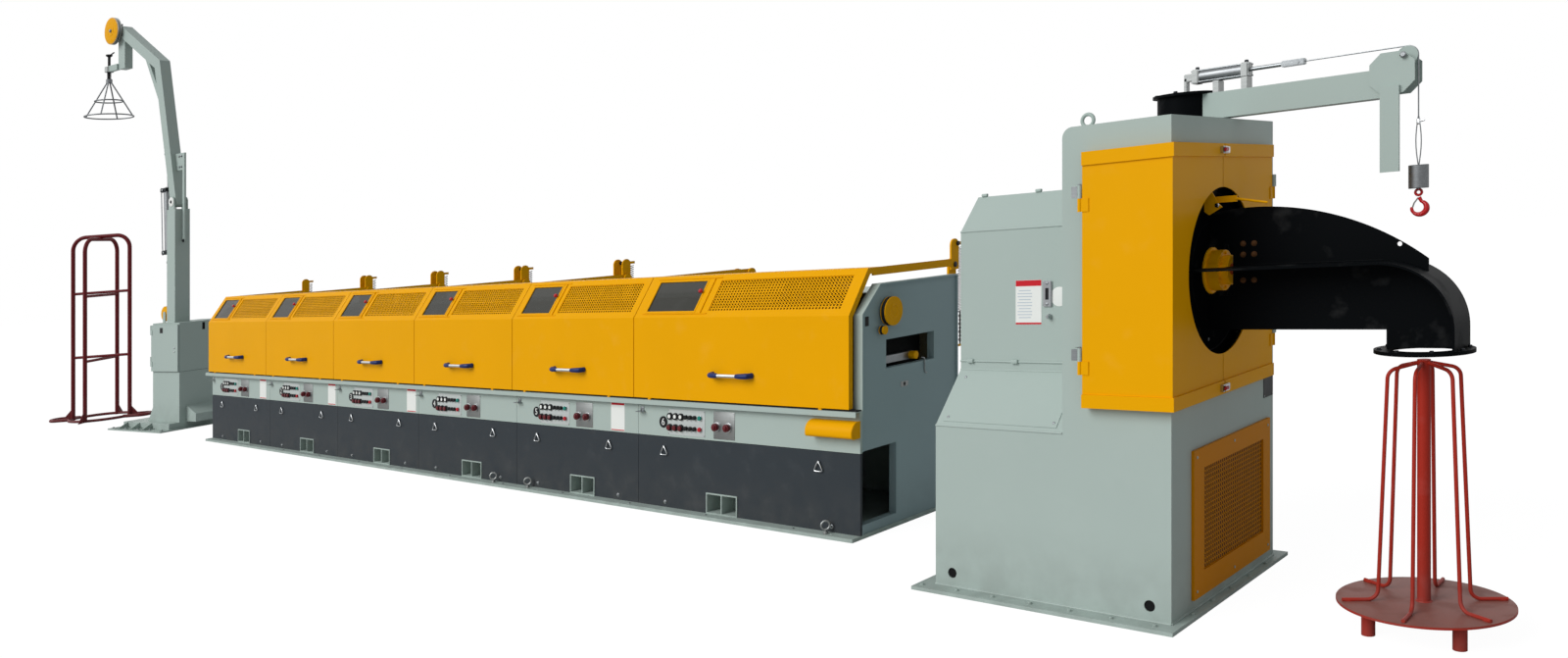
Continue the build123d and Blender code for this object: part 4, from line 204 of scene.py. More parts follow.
def mixed(tree, factor, first, second, blend="MIX"):
    inputs = {0: factor, 6: first, 7: second}
    return add_node(tree, "ShaderNodeMix", inputs, data_type="RGBA", blend_type=blend).outputs[2]


def build_paint_film():
    """Sprayed paint: slow tone drift, orange peel and faint scuffs."""
    group, given, end = new_group("Sprayed paint", {
        "Vector": None, "Colour": (0.5, 0.5, 0.5, 1), "Drift": 0.06, "Roughness": 0.4, "Scuffs": 0.3,
        "Floor dirt": 0.0,
    })
    slow = noise(group, given["Vector"], 1.7, 4.0)
    fine = noise(group, given["Vector"], 190.0, 2.0)
    blotch = noise(group, given["Vector"], 9.0, 6.0)
    dark = mixed(group, 1.0, given["Colour"], (0.78, 0.79, 0.80, 1), "MULTIPLY")
    light = mixed(group, 0.05, given["Colour"], (1, 1, 1, 1))
    toned = mixed(group, remap(group, slow, 0.3, 0.7, 0.0, given["Drift"]), given["Colour"], dark)
    lifted = mixed(group, remap(group, blotch, 0.58, 0.75, 0.0, given["Drift"]), toned, light)
    height = add_node(group, "ShaderNodeSeparateXYZ", {0: given["Vector"]}).outputs["Z"]
    low = remap(group, height, 0.0, 0.35, given["Floor dirt"], 0.0)
    spotted = maths(group, "MULTIPLY", low, remap(group, blotch, 0.35, 0.65, 0.2, 1.0))
    scuffs = maths(group, "MULTIPLY", remap(group, blotch, 0.5, 0.7, 0.0, 0.22), given["Scuffs"])
    feed(group, end, {
        "Colour": mixed(group, spotted, lifted, (0.10, 0.095, 0.085, 1)),
        "Roughness": maths(group, "ADD", given["Roughness"], scuffs),
        "Height": maths(group, "ADD", maths(group, "MULTIPLY", fine, 0.35), slow),
    })
    return group


def build_brushed():
    """Brushed or turned metal: fine streaks along one way."""
    group, given, end = new_group("Brushed grain", {
        "Vector": None, "Colour": (0.6, 0.6, 0.6, 1), "Roughness": 0.3, "Streaks": 0.3,
    })
    inputs = {0: given["Vector"], 1: (6.0, 220.0, 220.0)}
    stretch = add_node(group, "ShaderNodeVectorMath", inputs, operation="MULTIPLY").outputs[0]
    streak = noise(group, stretch, 1.0, 3.0)
    cloud = noise(group, given["Vector"], 14.0, 4.0)
    dark = mixed(group, 1.0, given["Colour"], (0.55, 0.55, 0.56, 1), "MULTIPLY")
    share = maths(group, "MULTIPLY", remap(group, streak, 0.35, 0.65, 0.0, 1.0), given["Streaks"])
    streaked = mixed(group, share, given["Colour"], dark)
    feed(group, end, {
        "Colour": mixed(group, remap(group, cloud, 0.45, 0.75, 0.0, 0.25), streaked, dark),
        "Roughness": maths(group, "ADD", given["Roughness"], maths(group, "MULTIPLY", streak, 0.16)),
        "Height": streak,
    })
    return group


paint_film = build_paint_film()
brushed_grain = build_brushed()
materials = {}


def coated(name, group, values):
    """A new material with a group on object coordinates; gives its tree, shader and group node."""
    material = bpy.data.materials.new(name)
    material.use_nodes = True
    materials[name] = material
    tree = material.node_tree
    place = tree.nodes.new("ShaderNodeTexCoord")
    inputs = {"Vector": place.outputs["Object"], **values}
    film = add_node(tree, "ShaderNodeGroup", inputs, node_tree=group)
    return tree, tree.nodes["Principled BSDF"], film.outputs


def finish(name, group, values, bump, bump_distance, metallic=0.0, coat=0.0, specular=0.5):
    tree, shader, film = coated(name, group, values)
    inputs = {"Strength": bump, "Distance": bump_distance, "Height": film["Height"]}
    feed(tree, shader, {
        "Base Color": film["Colour"],
        "Roughness": film["Roughness"],
        "Normal": add_node(tree, "ShaderNodeBump", inputs).outputs["Normal"],
        "Metallic": metallic,
        "Coat Weight": coat,
        "Coat Roughness": 0.12,
        "Specular IOR Level": specular,
    })
    materials[name].diffuse_color = values["Colour"]


def paint(name, colour, roughness=0.38, drift=0.10, scuffs=0.35, dirt=0.0, coat=0.0, specular=0.16):
    peel, peel_depth = 0.12, 0.0006
    colour = srgb(colour) if isinstance(colour, str) else tuple(colour)
    values = {"Colour": colour, "Drift": drift, "Roughness": roughness, "Scuffs": scuffs, "Floor dirt": dirt}
    finish(name, paint_film, values, peel, peel_depth, coat=coat, specular=specular)


def metal(name, colour, roughness=0.28, streaks=0.35, bump=0.08):
    streak_depth = 0.0003
    values = {"Colour": srgb(colour), "Roughness": roughness, "Streaks": streaks}
    finish(name, brushed_grain, values, bump, streak_depth, metallic=1.0)


def build_materials():
    colours = bpy.context.scene.line_paint
    paint("hood_paint", colours.hood, roughness=0.40, drift=0.16, specular=0.05)
    paint("vent_paint", "CE8304", roughness=0.42, drift=0.2, specular=0.05)
    paint("body_paint", colours.body, roughness=0.42, drift=0.14, dirt=0.25)
    paint("end_paint", colours.end, roughness=0.45, drift=0.18, dirt=0.2)
    paint("lower_paint", colours.lower, roughness=0.5, drift=0.2, scuffs=0.6, dirt=0.25)
    paint("trunk_paint", colours.black, roughness=0.45, drift=0.35, scuffs=0.6, specular=0.02)
    paint("dish_paint", colours.black, roughness=0.6, drift=0.35, scuffs=0.6, specular=0.0)
    paint("stand_paint", colours.stand, roughness=0.42, drift=0.4, scuffs=0.8, dirt=0.35)
    paint("rack_paint", colours.rack, roughness=0.40, drift=0.35, scuffs=0.8, dirt=0.3)
    paint("hook_paint", "B5161B", roughness=0.30, drift=0.2, coat=0.2)
    paint("blue_plastic", "182C66", roughness=0.33, scuffs=0.3, coat=0.05)
    paint("red_plastic", "B0202A", roughness=0.30, coat=0.2)
    paint("dark_red_plastic", "5E1A20", roughness=0.32, drift=0.15, coat=0.2)
    paint("teal_plastic", "1D7F72", roughness=0.30, coat=0.2)
    paint("black_plastic", "17181A", drift=0.2, coat=0.05)
    paint("white_plate", "E6E8E4", roughness=0.42, drift=0.08, scuffs=0.3)
    paint("dial_plate", "BFC5C3", roughness=0.42, drift=0.08, scuffs=0.3)
    paint("spring_black", "1B1A19", roughness=0.5, drift=0.3, specular=0.25)
    paint("label_red", "C5202C", roughness=0.4, drift=0.06)
    paint("label_ink", "B9C3CC", roughness=0.45, drift=0.08)
    paint("rubber_seal", "101112", roughness=0.75, drift=0.2, specular=0.3)
    paint("disc_top", "8A554C", roughness=0.48, drift=0.55, scuffs=1.0, dirt=0.3)
    # Near-black for openings, slots and holes: painted shade of their insides
    paint("inner_shade", "0B0C0D", roughness=0.85, drift=0.2, specular=0.2)
    metal("steel", "8F9395", roughness=0.30)
    metal("chrome", "BFC2C4", roughness=0.14, streaks=0.2, bump=0.03)
    metal("cylinder_silver", "8E9193", roughness=0.38, streaks=0.25)
    metal("handle_silver", "D4D7D8", roughness=0.26, streaks=0.15)
    metal("cast_drum", "7B7E80", roughness=0.42, streaks=0.5)
    metal("dark_steel", "34373A", roughness=0.38, streaks=0.4)
    metal("plate_steel", "949796", roughness=0.40, streaks=0.25)
    tree, shader, film = coated("smoked_pane", paint_film, {"Colour": srgb("35352F"), "Drift": 0.3})
    glass = {"Base Color": film["Colour"], "Roughness": 0.16, "Specular IOR Level": 0.25, "Alpha": 0.86}
    feed(tree, shader, glass)
    # mesh_shadow: painted shade of a hood's inside, seen through the perforated sheets
    paint("mesh_shadow", "3F2305", roughness=0.8, drift=0.5, specular=0.1)
    paint("vent_dark", "33210E", roughness=0.85, drift=0.4, specular=0.2)
    paint("hub_rust", "B2450E", roughness=0.5, drift=0.4)
    paint("root_bolt", "5A3A1E", roughness=0.5, drift=0.4)


# Mesh helpers
def side_axes(direction):
    """Two unit vectors square to a direction."""
    direction = direction.normalized()
    helper = Z_AXIS if abs(direction.z) < 0.9 else X_AXIS
    across = direction.cross(helper).normalized()
    return across, direction.cross(across).normalized()


def turn_angles(count, shift=0.0):
    """Angles of one full turn in equal steps, shifted by a share of a step."""
    return [2 * math.pi * (number + shift) / count for number in range(count)]


def ring_points(centre, across, up, radius, sides):
    return [
        centre + across * (radius * math.cos(angle)) + up * (radius * math.sin(angle))
        for angle in turn_angles(sides)
    ]


def skin_rings(mesh, rings, closed=False):
    """Faces between rings of points, with caps at both ends unless they close to a loop."""
    rows = [[mesh.verts.new(point) for point in ring] for ring in rings]
    pairs = list(zip(rows[:-1], rows[1:]))
    if closed:
        pairs.append((rows[-1], rows[0]))
    for first, second in pairs:
        for number in range(len(first)):
            after = (number + 1) % len(first)
            mesh.faces.new((first[number], first[after], second[after], second[number]))
    if not closed:
        mesh.faces.new(rows[0][::-1])
        mesh.faces.new(rows[-1])


def add_rod(mesh, start, end, radius, sides=8):
    start, end = Vector(start), Vector(end)
    across, up = side_axes(end - start)
    skin_rings(mesh, [ring_points(point, across, up, radius, sides) for point in (start, end)])


def add_turned(mesh, centre, axis, profile, sides=40):
    """Lathe shape: profile holds (radius, distance along the axis)."""
    across, up = side_axes(axis)
    centre = Vector(centre)
    rings = [ring_points(centre + axis * along, across, up, radius, sides) for radius, along in profile]
    skin_rings(mesh, rings)


def add_torus(mesh, centre, axis, major, minor, sides=32, minor_sides=10):
    axis = Vector(axis).normalized()
    across, up = side_axes(axis)
    rings = []
    for angle in turn_angles(sides):
        outward = across * math.cos(angle) + up * math.sin(angle)
        rings.append(ring_points(Vector(centre) + outward * major, outward, axis, minor, minor_sides))
    skin_rings(mesh, rings, closed=True)


def add_tube(mesh, points, radius, sides=10, closed=False):
    """Round tube along points, with a frame carried on; radius is one size or one for each point."""
    points = [Vector(point) for point in points]
    count = len(points)
    sizes = radius if isinstance(radius, list) else [radius] * count
    tangents = []
    for number in range(count):
        before = points[number - 1] if number or closed else points[0]
        after = points[(number + 1) % count] if number < count - 1 or closed else points[-1]
        tangents.append((after - before).normalized())
    across = side_axes(tangents[0])[0]
    rings = []
    for point, tangent, size in zip(points, tangents, sizes):
        across = (across - tangent * across.dot(tangent)).normalized()
        rings.append(ring_points(point, across, tangent.cross(across).normalized(), size, sides))
    skin_rings(mesh, rings, closed)


def add_block(mesh, low, high, bevel=0.0, place=None):
    """Box between two corners; place carries a corner into the shared frame."""
    xs, ys, zs = zip(low, high)
    corners = [Vector((x, y, z)) for x in xs for y in ys for z in zs]
    if place:
        corners = [place(*corner) for corner in corners]
    verts = [mesh.verts.new(corner) for corner in corners]
    faces = []
    for loop in ((0, 1, 3, 2), (4, 6, 7, 5), (0, 4, 5, 1), (2, 3, 7, 6), (0, 2, 6, 4), (1, 5, 7, 3)):
        faces.append(mesh.faces.new([verts[number] for number in loop]))
    if bevel:
        edges = list(dict.fromkeys(edge for face in faces for edge in face.edges))
        bmesh.ops.bevel(mesh, geom=edges, offset=bevel, segments=2, affect="EDGES", clamp_overlap=True)


def add_prism(mesh, outline, depth):
    """Plate from an outline of points, pushed along a vector."""
    first = [Vector(point) for point in outline]
    skin_rings(mesh, [first, [point + Vector(depth) for point in first]])


def settle(obj, material, body="line", smooth=True, slot=None):
    """Link an object, give it its material and let it ride on a body."""
    if obj.name not in bpy.context.scene.collection.objects:
        bpy.context.scene.collection.objects.link(obj)
    data = obj.data
    if material:
        data.materials.clear()
        data.materials.append(materials[material])
    if smooth:
        data.shade_smooth()
        data.set_sharp_from_angle(angle=SMOOTH_LIMIT)
    if body:
        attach(obj, body)
    return obj


def piece(name, mesh, material, **options):
    """Turn mesh data into an object at the origin."""
    bmesh.ops.recalc_face_normals(mesh, faces=mesh.faces)
    data = bpy.data.meshes.new(name)
    mesh.to_mesh(data)
    mesh.free()
    return settle(bpy.data.objects.new(name, data), material, **options)


def turned(name, material, centre, axis, profile, sides=40, **options):
    """A piece that is one lathe shape."""
    mesh = bmesh.new()
    add_turned(mesh, centre, axis, profile, sides)
    return piece(name, mesh, material, **options)


def blocks(name, material, corners, bevel=0.0, place=None, **options):
    """A piece that is one or more boxes, each given by its low and high corner."""
    mesh = bmesh.new()
    for low, high in corners:
        add_block(mesh, low, high, bevel, place)
    return piece(name, mesh, material, **options)


def rods(name, material, ends, radius, sides=8, **options):
    """A piece that is one or more straight rods of one radius."""
    mesh = bmesh.new()
    for start, end in ends:
        add_rod(mesh, start, end, radius, sides)
    return piece(name, mesh, material, **options)


# Geometry Nodes for everything that repeats
def build_repeat_tree(name, block):
    """Puts one small solid on each point, turned and sized by the point's own attributes."""
    tree = bpy.data.node_groups.new(name, "GeometryNodeTree")
    for label, way, kind in (
        ("Geometry", "INPUT", "Geometry"), ("Sides", "INPUT", "Int"), ("Finish", "INPUT", "Material"),
        ("Geometry", "OUTPUT", "Geometry"),
    ):
        tree.interface.new_socket(label, in_out=way, socket_type=f"NodeSocket{kind}")
    given = tree.nodes.new("NodeGroupInput").outputs
    if block:
        solid = add_node(tree, "GeometryNodeMeshCube", {"Size": (1, 1, 1)})
    else:
        inputs = {"Radius": 1.0, "Depth": 1.0, "Vertices": given["Sides"]}
        solid = add_node(tree, "GeometryNodeMeshCylinder", inputs)
    inputs = {"Translation": (0, 0, 0.5), "Geometry": solid.outputs["Mesh"]}
    lifted = add_node(tree, "GeometryNodeTransform", inputs).outputs["Geometry"]
    read = {}
    for label in ("facing", "along", "size"):
        node = add_node(tree, "GeometryNodeInputNamedAttribute", {"Name": label}, data_type="FLOAT_VECTOR")
        read[label] = node.outputs["Attribute"]
    align = "FunctionNodeAlignRotationToVector"
    stand = add_node(tree, align, {"Vector": read["facing"]}, axis="Z")
    inputs = {"Rotation": stand.outputs["Rotation"], "Vector": read["along"]}
    turn = add_node(tree, align, inputs, axis="X", pivot_axis="Z")
    placed = add_node(tree, "GeometryNodeInstanceOnPoints", {
        "Points": given["Geometry"], "Instance": lifted, "Rotation": turn.outputs["Rotation"],
        "Scale": read["size"],
    })
    real = add_node(tree, "GeometryNodeRealizeInstances", {"Geometry": placed.outputs["Instances"]})
    inputs = {"Geometry": real.outputs["Geometry"], "Material": given["Finish"]}
    painted = add_node(tree, "GeometryNodeSetMaterial", inputs)
    feed(tree, tree.nodes.new("NodeGroupOutput"), {"Geometry": painted.outputs["Geometry"]})
    return tree


block_tree = build_repeat_tree("Repeated block", True)
round_tree = build_repeat_tree("Repeated disc", False)


def evaluated_mesh(obj):
    """Plain mesh of an object with its modifiers applied."""
    return bpy.data.meshes.new_from_object(obj.evaluated_get(bpy.context.evaluated_depsgraph_get()))


def scatter(name, items, material, tree=None, sides=20, bevel=0.0, **options):
    """Items hold (place, facing, along, size); the result is one plain mesh."""
    tree = tree or round_tree
    data = bpy.data.meshes.new(name)
    data.from_pydata([tuple(item[0]) for item in items], [], [])
    labels = ("facing", "along", "size")
    for index, label in enumerate(labels, 1):
        attribute = data.attributes.new(label, "FLOAT_VECTOR", "POINT")
        attribute.data.foreach_set("vector", [value for item in items for value in item[index]])
    obj = bpy.data.objects.new(name, data)
    bpy.context.scene.collection.objects.link(obj)
    modifier = obj.modifiers.new("Repeat", "NODES")
    modifier.node_group = tree
    sockets = {item.name: item.identifier for item in tree.interface.items_tree if item.in_out == "INPUT"}
    modifier[sockets["Sides"]] = sides
    modifier[sockets["Finish"]] = materials[material]
    if bevel:
        edge = obj.modifiers.new("Edges", "BEVEL")
        edge.width = bevel
        edge.segments = 2
        edge.angle_limit = BEVEL_LIMIT
    made = evaluated_mesh(obj)
    obj.modifiers.clear()
    obj.data = made
    made.name = name
    bpy.data.meshes.remove(data)
    for label in labels:
        found = made.attributes.get(label)
        if found:
            made.attributes.remove(found)
    return settle(obj, None, **options)


def bolts(name, places, facing, material="steel", scale=1.0, **options):
    """Hexagon heads on washers."""
    head = bpy.context.scene.line_sizes.bolt * scale
    along = side_axes(facing)[0]
    washers = [(place, facing, along, (head * 1.45, head * 1.45, head * 0.22)) for place in places]
    size = (head, head, head * 0.75)
    heads = [(Vector(place) + facing * head * 0.2, facing, along, size) for place in places]
    scatter(f"{name}_washers", washers, material, sides=18, **options)
    scatter(f"{name}_heads", heads, material, sides=6, bevel=head * 0.08, **options)


def screws(name, places, facing, radius, material="steel", **options):
    """Low round screw heads."""
    along = side_axes(facing)[0]
    items = [(place, facing, along, (radius, radius, radius * 0.5)) for place in places]
    scatter(name, items, material, sides=14, bevel=radius * 0.2, **options)


def front_item(x, y, z, size):
    """A repeated solid that stands on a face towards the operator."""
    return (x, y, z), FRONT, X_AXIS, size


# Stage
class LINE_OT_stage(bpy.types.Operator):
    """Pale floor, white surroundings, soft light and the camera at the photograph's place"""

    bl_idname = "drawing_line.stage"
    bl_label = "Stage"

    def execute(self, context):
        context.scene.view_settings.view_transform = "Standard"
        self.make_floor(60.0)
        self.make_world(context.scene)
        self.make_light(strength=2.35, direction=(0.35, 0.85, -0.55), spread=40)
        self.make_camera(context.scene)
        return {"FINISHED"}

    def make_floor(self, reach):
        mesh = bmesh.new()
        corners = [(-reach, -reach, 0), (reach, -reach, 0), (reach, reach, 0), (-reach, reach, 0)]
        mesh.faces.new([mesh.verts.new(corner) for corner in corners])
        data = bpy.data.meshes.new("studio_floor")
        mesh.to_mesh(data)
        mesh.free()
        floor = bpy.data.objects.new("studio_floor", data)
        bpy.context.scene.collection.objects.link(floor)
        material = bpy.data.materials.new("studio_white")
        material.use_nodes = True
        tree = material.node_tree
        shader = tree.nodes["Principled BSDF"]
        feed(tree, shader, {"Base Color": (0.62, 0.62, 0.62, 1), "Roughness": 0.9, "Specular IOR Level": 0.0})
        glow = add_node(tree, "ShaderNodeEmission", {"Color": (1, 1, 1, 1), "Strength": 1.1})
        rays = tree.nodes.new("ShaderNodeLightPath").outputs
        seen = maths(tree, "MULTIPLY", rays["Is Camera Ray"], 0.88)
        blend = add_node(tree, "ShaderNodeMixShader", {0: seen, 1: shader.outputs[0], 2: glow.outputs[0]})
        feed(tree, tree.nodes["Material Output"], {"Surface": blend.outputs[0]})
        data.materials.append(material)

    def make_world(self, scene):
        """Soft light for matt faces; camera, glossy and transmission rays see white."""
        world = bpy.data.worlds.new("studio_air")
        world.use_nodes = True
        tree = world.node_tree
        soft = tree.nodes["Background"]
        feed(tree, soft, {"Color": (0.93, 0.97, 1.0, 1), "Strength": 0.34})
        white = add_node(tree, "ShaderNodeBackground", {"Color": (1, 1, 1, 1), "Strength": 1.0})
        rays = tree.nodes.new("ShaderNodeLightPath").outputs
        first = maths(tree, "ADD", rays["Is Camera Ray"], rays["Is Glossy Ray"])
        second = maths(tree, "ADD", first, rays["Is Transmission Ray"], use_clamp=True)
        blend = add_node(tree, "ShaderNodeMixShader", {0: second, 1: soft.outputs[0], 2: white.outputs[0]})
        feed(tree, tree.nodes["World Output"], {"Surface": blend.outputs[0]})
        scene.world = world

    def make_light(self, strength, direction, spread):
        light = bpy.data.lights.new("key", "SUN")
        light.energy = strength
        light.angle = math.radians(spread)
        lamp = bpy.data.objects.new("key", light)
        lamp.rotation_mode = "QUATERNION"
        lamp.rotation_quaternion = Vector(direction).to_track_quat("-Z", "Y")
        bpy.context.scene.collection.objects.link(lamp)

    def make_camera(self, scene):
        """The photograph was straightened by a small shear, so the camera carries the same one."""
        lens = bpy.data.cameras.new("photo_camera")
        lens.sensor_width = 36.0
        lens.lens = 26.6
        lens.shift_y = -0.0584
        lens.clip_end = 200.0
        camera = bpy.data.objects.new("photo_camera", lens)
        scene.collection.objects.link(camera)
        turn = math.radians(42.2)
        skew = 0.072
        right = Vector((math.cos(turn), math.sin(turn), -skew))
        back = Vector((math.sin(turn), -math.cos(turn), 0))
        columns = Matrix((right, Z_AXIS, back)).transposed().to_4x4()
        columns.translation = Vector((8.079, -5.349, scene.line_sizes.camera_height))
        holder = bpy.data.objects.new("camera_stand", None)
        scene.collection.objects.link(holder)
        camera.parent = holder
        camera.matrix_parent_inverse = columns
        scene.camera = camera


class LINE_OT_paint_solids(bpy.types.Operator):
    """Makes the paints and metals and gives every solid that stays its own"""

    bl_idname = "drawing_line.paint_solids"
    bl_label = "Paint the solids"

    finishes = {
        "body_paint": (
            "control_strips", "ledge_rail", "deck_plates", "rear_wall", "top_cover", "cross_frames",
            "fork_pockets", "base_plate", "takeup_housing", "jib_beam", "payoff_base", "payoff_cabinet",
            "payoff_cabinet_door", "payoff_post", "payoff_arm",
        ),
        "end_paint": ("left_end_frame", "right_end_frame"),
        "lower_paint": ("lower_panels",),
        "hood_paint": (
            *(f"hood_{number}" for number in BLOCKS), "outlet_box", "outlet_wheel", "outlet_roller",
            "takeup_front_door", "takeup_rear_door", "winding_hub", "cabinet_sheave", "arm_sheave",
            "hinge_brackets",
        ),
        "trunk_paint": ("trunk", "jib_drum"),
        "dish_paint": ("winding_block",),
        "vent_paint": ("vent_grille",),
        "stand_paint": ("coil_stand",),
        "rack_paint": ("coil_rack",),
        "cast_drum": ("drawing_drums", "guide_cone"),
        "steel": ("tilt_rod", "die_bar"),
        "dark_steel": ("hook_weight",),
    }

    def execute(self, context):
        build_materials()
        for name, solids in self.finishes.items():
            for solid in solids:
                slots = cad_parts[solid].data.materials
                slots.clear()
                slots.append(materials[name])
        return {"FINISHED"}


def arm_places(number):
    """Start of each hood arm along X, the way its outer face looks, and whether springs hold it."""
    low, high = hood_boxes[number]
    left = low.x if number == BLOCKS[0] else low.x + ARM_INSET
    right = high.x if number == BLOCKS[-1] else high.x - ARM_INSET
    return (left, -1, number - 1 != UNSPRUNG_SEAM), (right - ARM_THICKNESS, 1, number != UNSPRUNG_SEAM)


class LINE_OT_hood_fittings(bpy.types.Operator):
    """Panes, perforated sheets, knobs, slide rails and handles of the six hoods"""

    bl_idname = "drawing_line.hood_fittings"
    bl_label = "Hood fittings"

    def execute(self, context):
        for number in BLOCKS:
            body = f"hood_{number}"
            low, high = hood_boxes[number]
            start, end = (low.x + (high.x - low.x) * share for share in PANE_SHARES)
            sheet_start, sheet_end = (low.x + (high.x - low.x) * share for share in MESH_SHARES)
            slide = low.x + (high.x - low.x) * SLIDE_SHARE
            self.pane(number, start, end, slide, sheet_start, body)
            self.sheet(number, sheet_start, sheet_end, context.scene.line_sizes, body)
            knob = on_slope(end - 0.006, slope_bottom + (slope_top - slope_bottom) * 0.62)
            profile = [(0.006, 0), (0.006, 0.010), (0.013, 0.012), (0.014, 0.020), (0.010, 0.026)]
            turned(f"pane_knob_{number}", "red_plastic", knob, slope_out, profile, 20, body=body)
            self.handle(number, (low.x + high.x) / 2, body)
            self.stops_and_caps(number, low.x, body)
        return {"FINISHED"}

    def pane(self, number, start, end, slide, sheet_start, body):
        """Dark pane with a raised rim, on two slide rails with a stop bar."""
        lap, rim, rail = 0.010, 0.012, 0.006
        bottom, top = slope_bottom, slope_top
        corners = [((start - lap, bottom - lap, -0.0085), (end + lap, top + lap, -0.0045))]
        name = f"pane_{number}"
        pane = blocks(name, "smoked_pane", corners, 0, on_slope, body=body, smooth=False, slot="pane_dark")
        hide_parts(f"hood_fittings_{number}")
        mesh = bmesh.new()
        for x_low, x_high, up_low, up_high in (
            (start - rim, end + rim, bottom - rim, bottom), (start - rim, end + rim, top, top + rim),
            (start - rim, start, bottom, top), (end, end + rim, bottom, top),
        ):
            add_block(mesh, (x_low, up_low, 0.0), (x_high, up_high, 0.002), 0.0006, on_slope)
        for up in (bottom - 0.022, top + 0.016):
            add_block(mesh, (start - 0.03, up, 0.0), (sheet_start - 0.004, up + rail, 0.005), 0.001, on_slope)
        reach = 0.016
        bar = (slide - 0.004, bottom - reach, 0.0), (slide + 0.004, top + reach, 0.006)
        add_block(mesh, *bar, 0.001, on_slope)
        piece(f"pane_rim_{number}", mesh, "hood_paint", body=body, slot="hood_yellow")

    def sheet(self, number, start, end, sizes, body):
        """Perforated sheet as a web of upright and level bars, with a dark sheet of painted shade behind it
        that shows through the holes.
        """
        depth, thick, rows, web = -0.0065, 0.002, 12, sizes.hole_web
        height = slope_top - slope_bottom
        columns = int((end - start) / sizes.hole_pitch)
        items = []
        for count in range(columns + 1):
            middle = on_slope(start + (end - start) * count / columns, (slope_bottom + slope_top) / 2, depth)
            items.append((middle, slope_out, X_AXIS, (web, height, thick)))
        for count in range(rows + 1):
            middle = on_slope((start + end) / 2, slope_bottom + height * count / rows, depth)
            items.append((middle, slope_out, X_AXIS, (end - start, web * 0.62, thick)))
        options = {"body": body, "smooth": False, "slot": "hood_yellow"}
        scatter(f"perforated_sheet_{number}", items, "hood_paint", block_tree, **options)
        # Dark sheet behind the holes: painted shade of the hood's inside
        lap = 0.012
        corners = [((start - lap, slope_bottom - lap, -0.0125), (end + lap, slope_top + lap, -0.0105))]
        blocks(f"sheet_shade_{number}", "mesh_shadow", corners, 0, on_slope, **options)

    def handle(self, number, middle, body):
        """Round bar between two grips that bend back to the hood."""
        y, z = hood_face - 0.046, 0.865
        ends = [((middle - 0.10, y, z), (middle + 0.10, y, z))]
        name = f"handle_bar_{number}"
        rods(name, "handle_silver", ends, 0.0115, 20, body=body, slot="cylinder_silver")
        bend = (
            (0.075, 0.0, 0.0125), (0.095, 0.0, 0.0150), (0.130, 0.004, 0.0165), (0.150, 0.012, 0.0170),
            (0.158, 0.026, 0.0165), (0.160, 0.044, 0.0175),
        )
        mesh = bmesh.new()
        for side in SIDES:
            points = [(middle + side * along, y + depth, z) for along, depth, _ in bend]
            add_tube(mesh, points, [size for _, _, size in bend], 16)
        piece(f"handle_grips_{number}", mesh, "blue_plastic", body=body)

    def stops_and_caps(self, number, left, body):
        """Stops under the hood's front edge, and caps on the pins of its arms."""
        half = 0.013
        places = (left + 0.142, seams[number] - 0.253)
        corners = [((x - half, -0.519, 0.6905), (x + half, -0.498, 0.7018)) for x in places]
        blocks(f"hood_stops_{number}", "hood_paint", corners, 0.002)
        caps = []
        for x, outward, sprung in arm_places(number):
            face = x if outward < 0 else x + ARM_THICKNESS
            caps.append(((face, 0.490, 1.415), X_AXIS * outward, Y_AXIS, (0.017, 0.017, 0.006)))
            if sprung:
                caps.append(((face, 0.515, 1.540), X_AXIS * outward, Y_AXIS, (0.014, 0.014, 0.010)))
        scatter(f"arm_caps_{number}", caps, "black_plastic", sides=18, bevel=0.001, body=body)


class LINE_OT_balance_springs(bpy.types.Operator):
    """Coil springs that carry the hoods, with rods and chains below"""

    bl_idname = "drawing_line.balance_springs"
    bl_label = "Balance springs"

    def execute(self, context):
        y, top, coil_length, coil_radius, wire = 0.55, 1.52, 0.40, 0.0115, 0.0022
        rod_radius, chain_top, link_pitch, link_radius = 0.0045, 1.10, 0.024, 0.009
        round_steps = 10
        steps = context.scene.line_sizes.spring_turns * round_steps
        for number in BLOCKS:
            mesh = bmesh.new()
            sprung = [x for x, _, held in arm_places(number) if held]
            for start in sprung:
                x = start + ARM_THICKNESS / 2
                path = []
                for step in range(steps + 1):
                    angle = 2 * math.pi * step / round_steps
                    across, depth = coil_radius * math.cos(angle), coil_radius * math.sin(angle)
                    path.append((x + across, y + depth, top - coil_length * step / steps))
                add_tube(mesh, path, wire, 5)
                add_rod(mesh, (x, y, 1.128), (x, y, 0.932), rod_radius)
                for link in range(7):
                    axis = X_AXIS if link % 2 else Y_AXIS
                    add_torus(mesh, (x, y, chain_top - link_pitch * link), axis, link_radius, wire, 12, 5)
            spring = piece(f"balance_spring_{number}", mesh, "spring_black", body=None)
            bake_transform(spring)
            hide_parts("balance_springs")
        return {"FINISHED"}


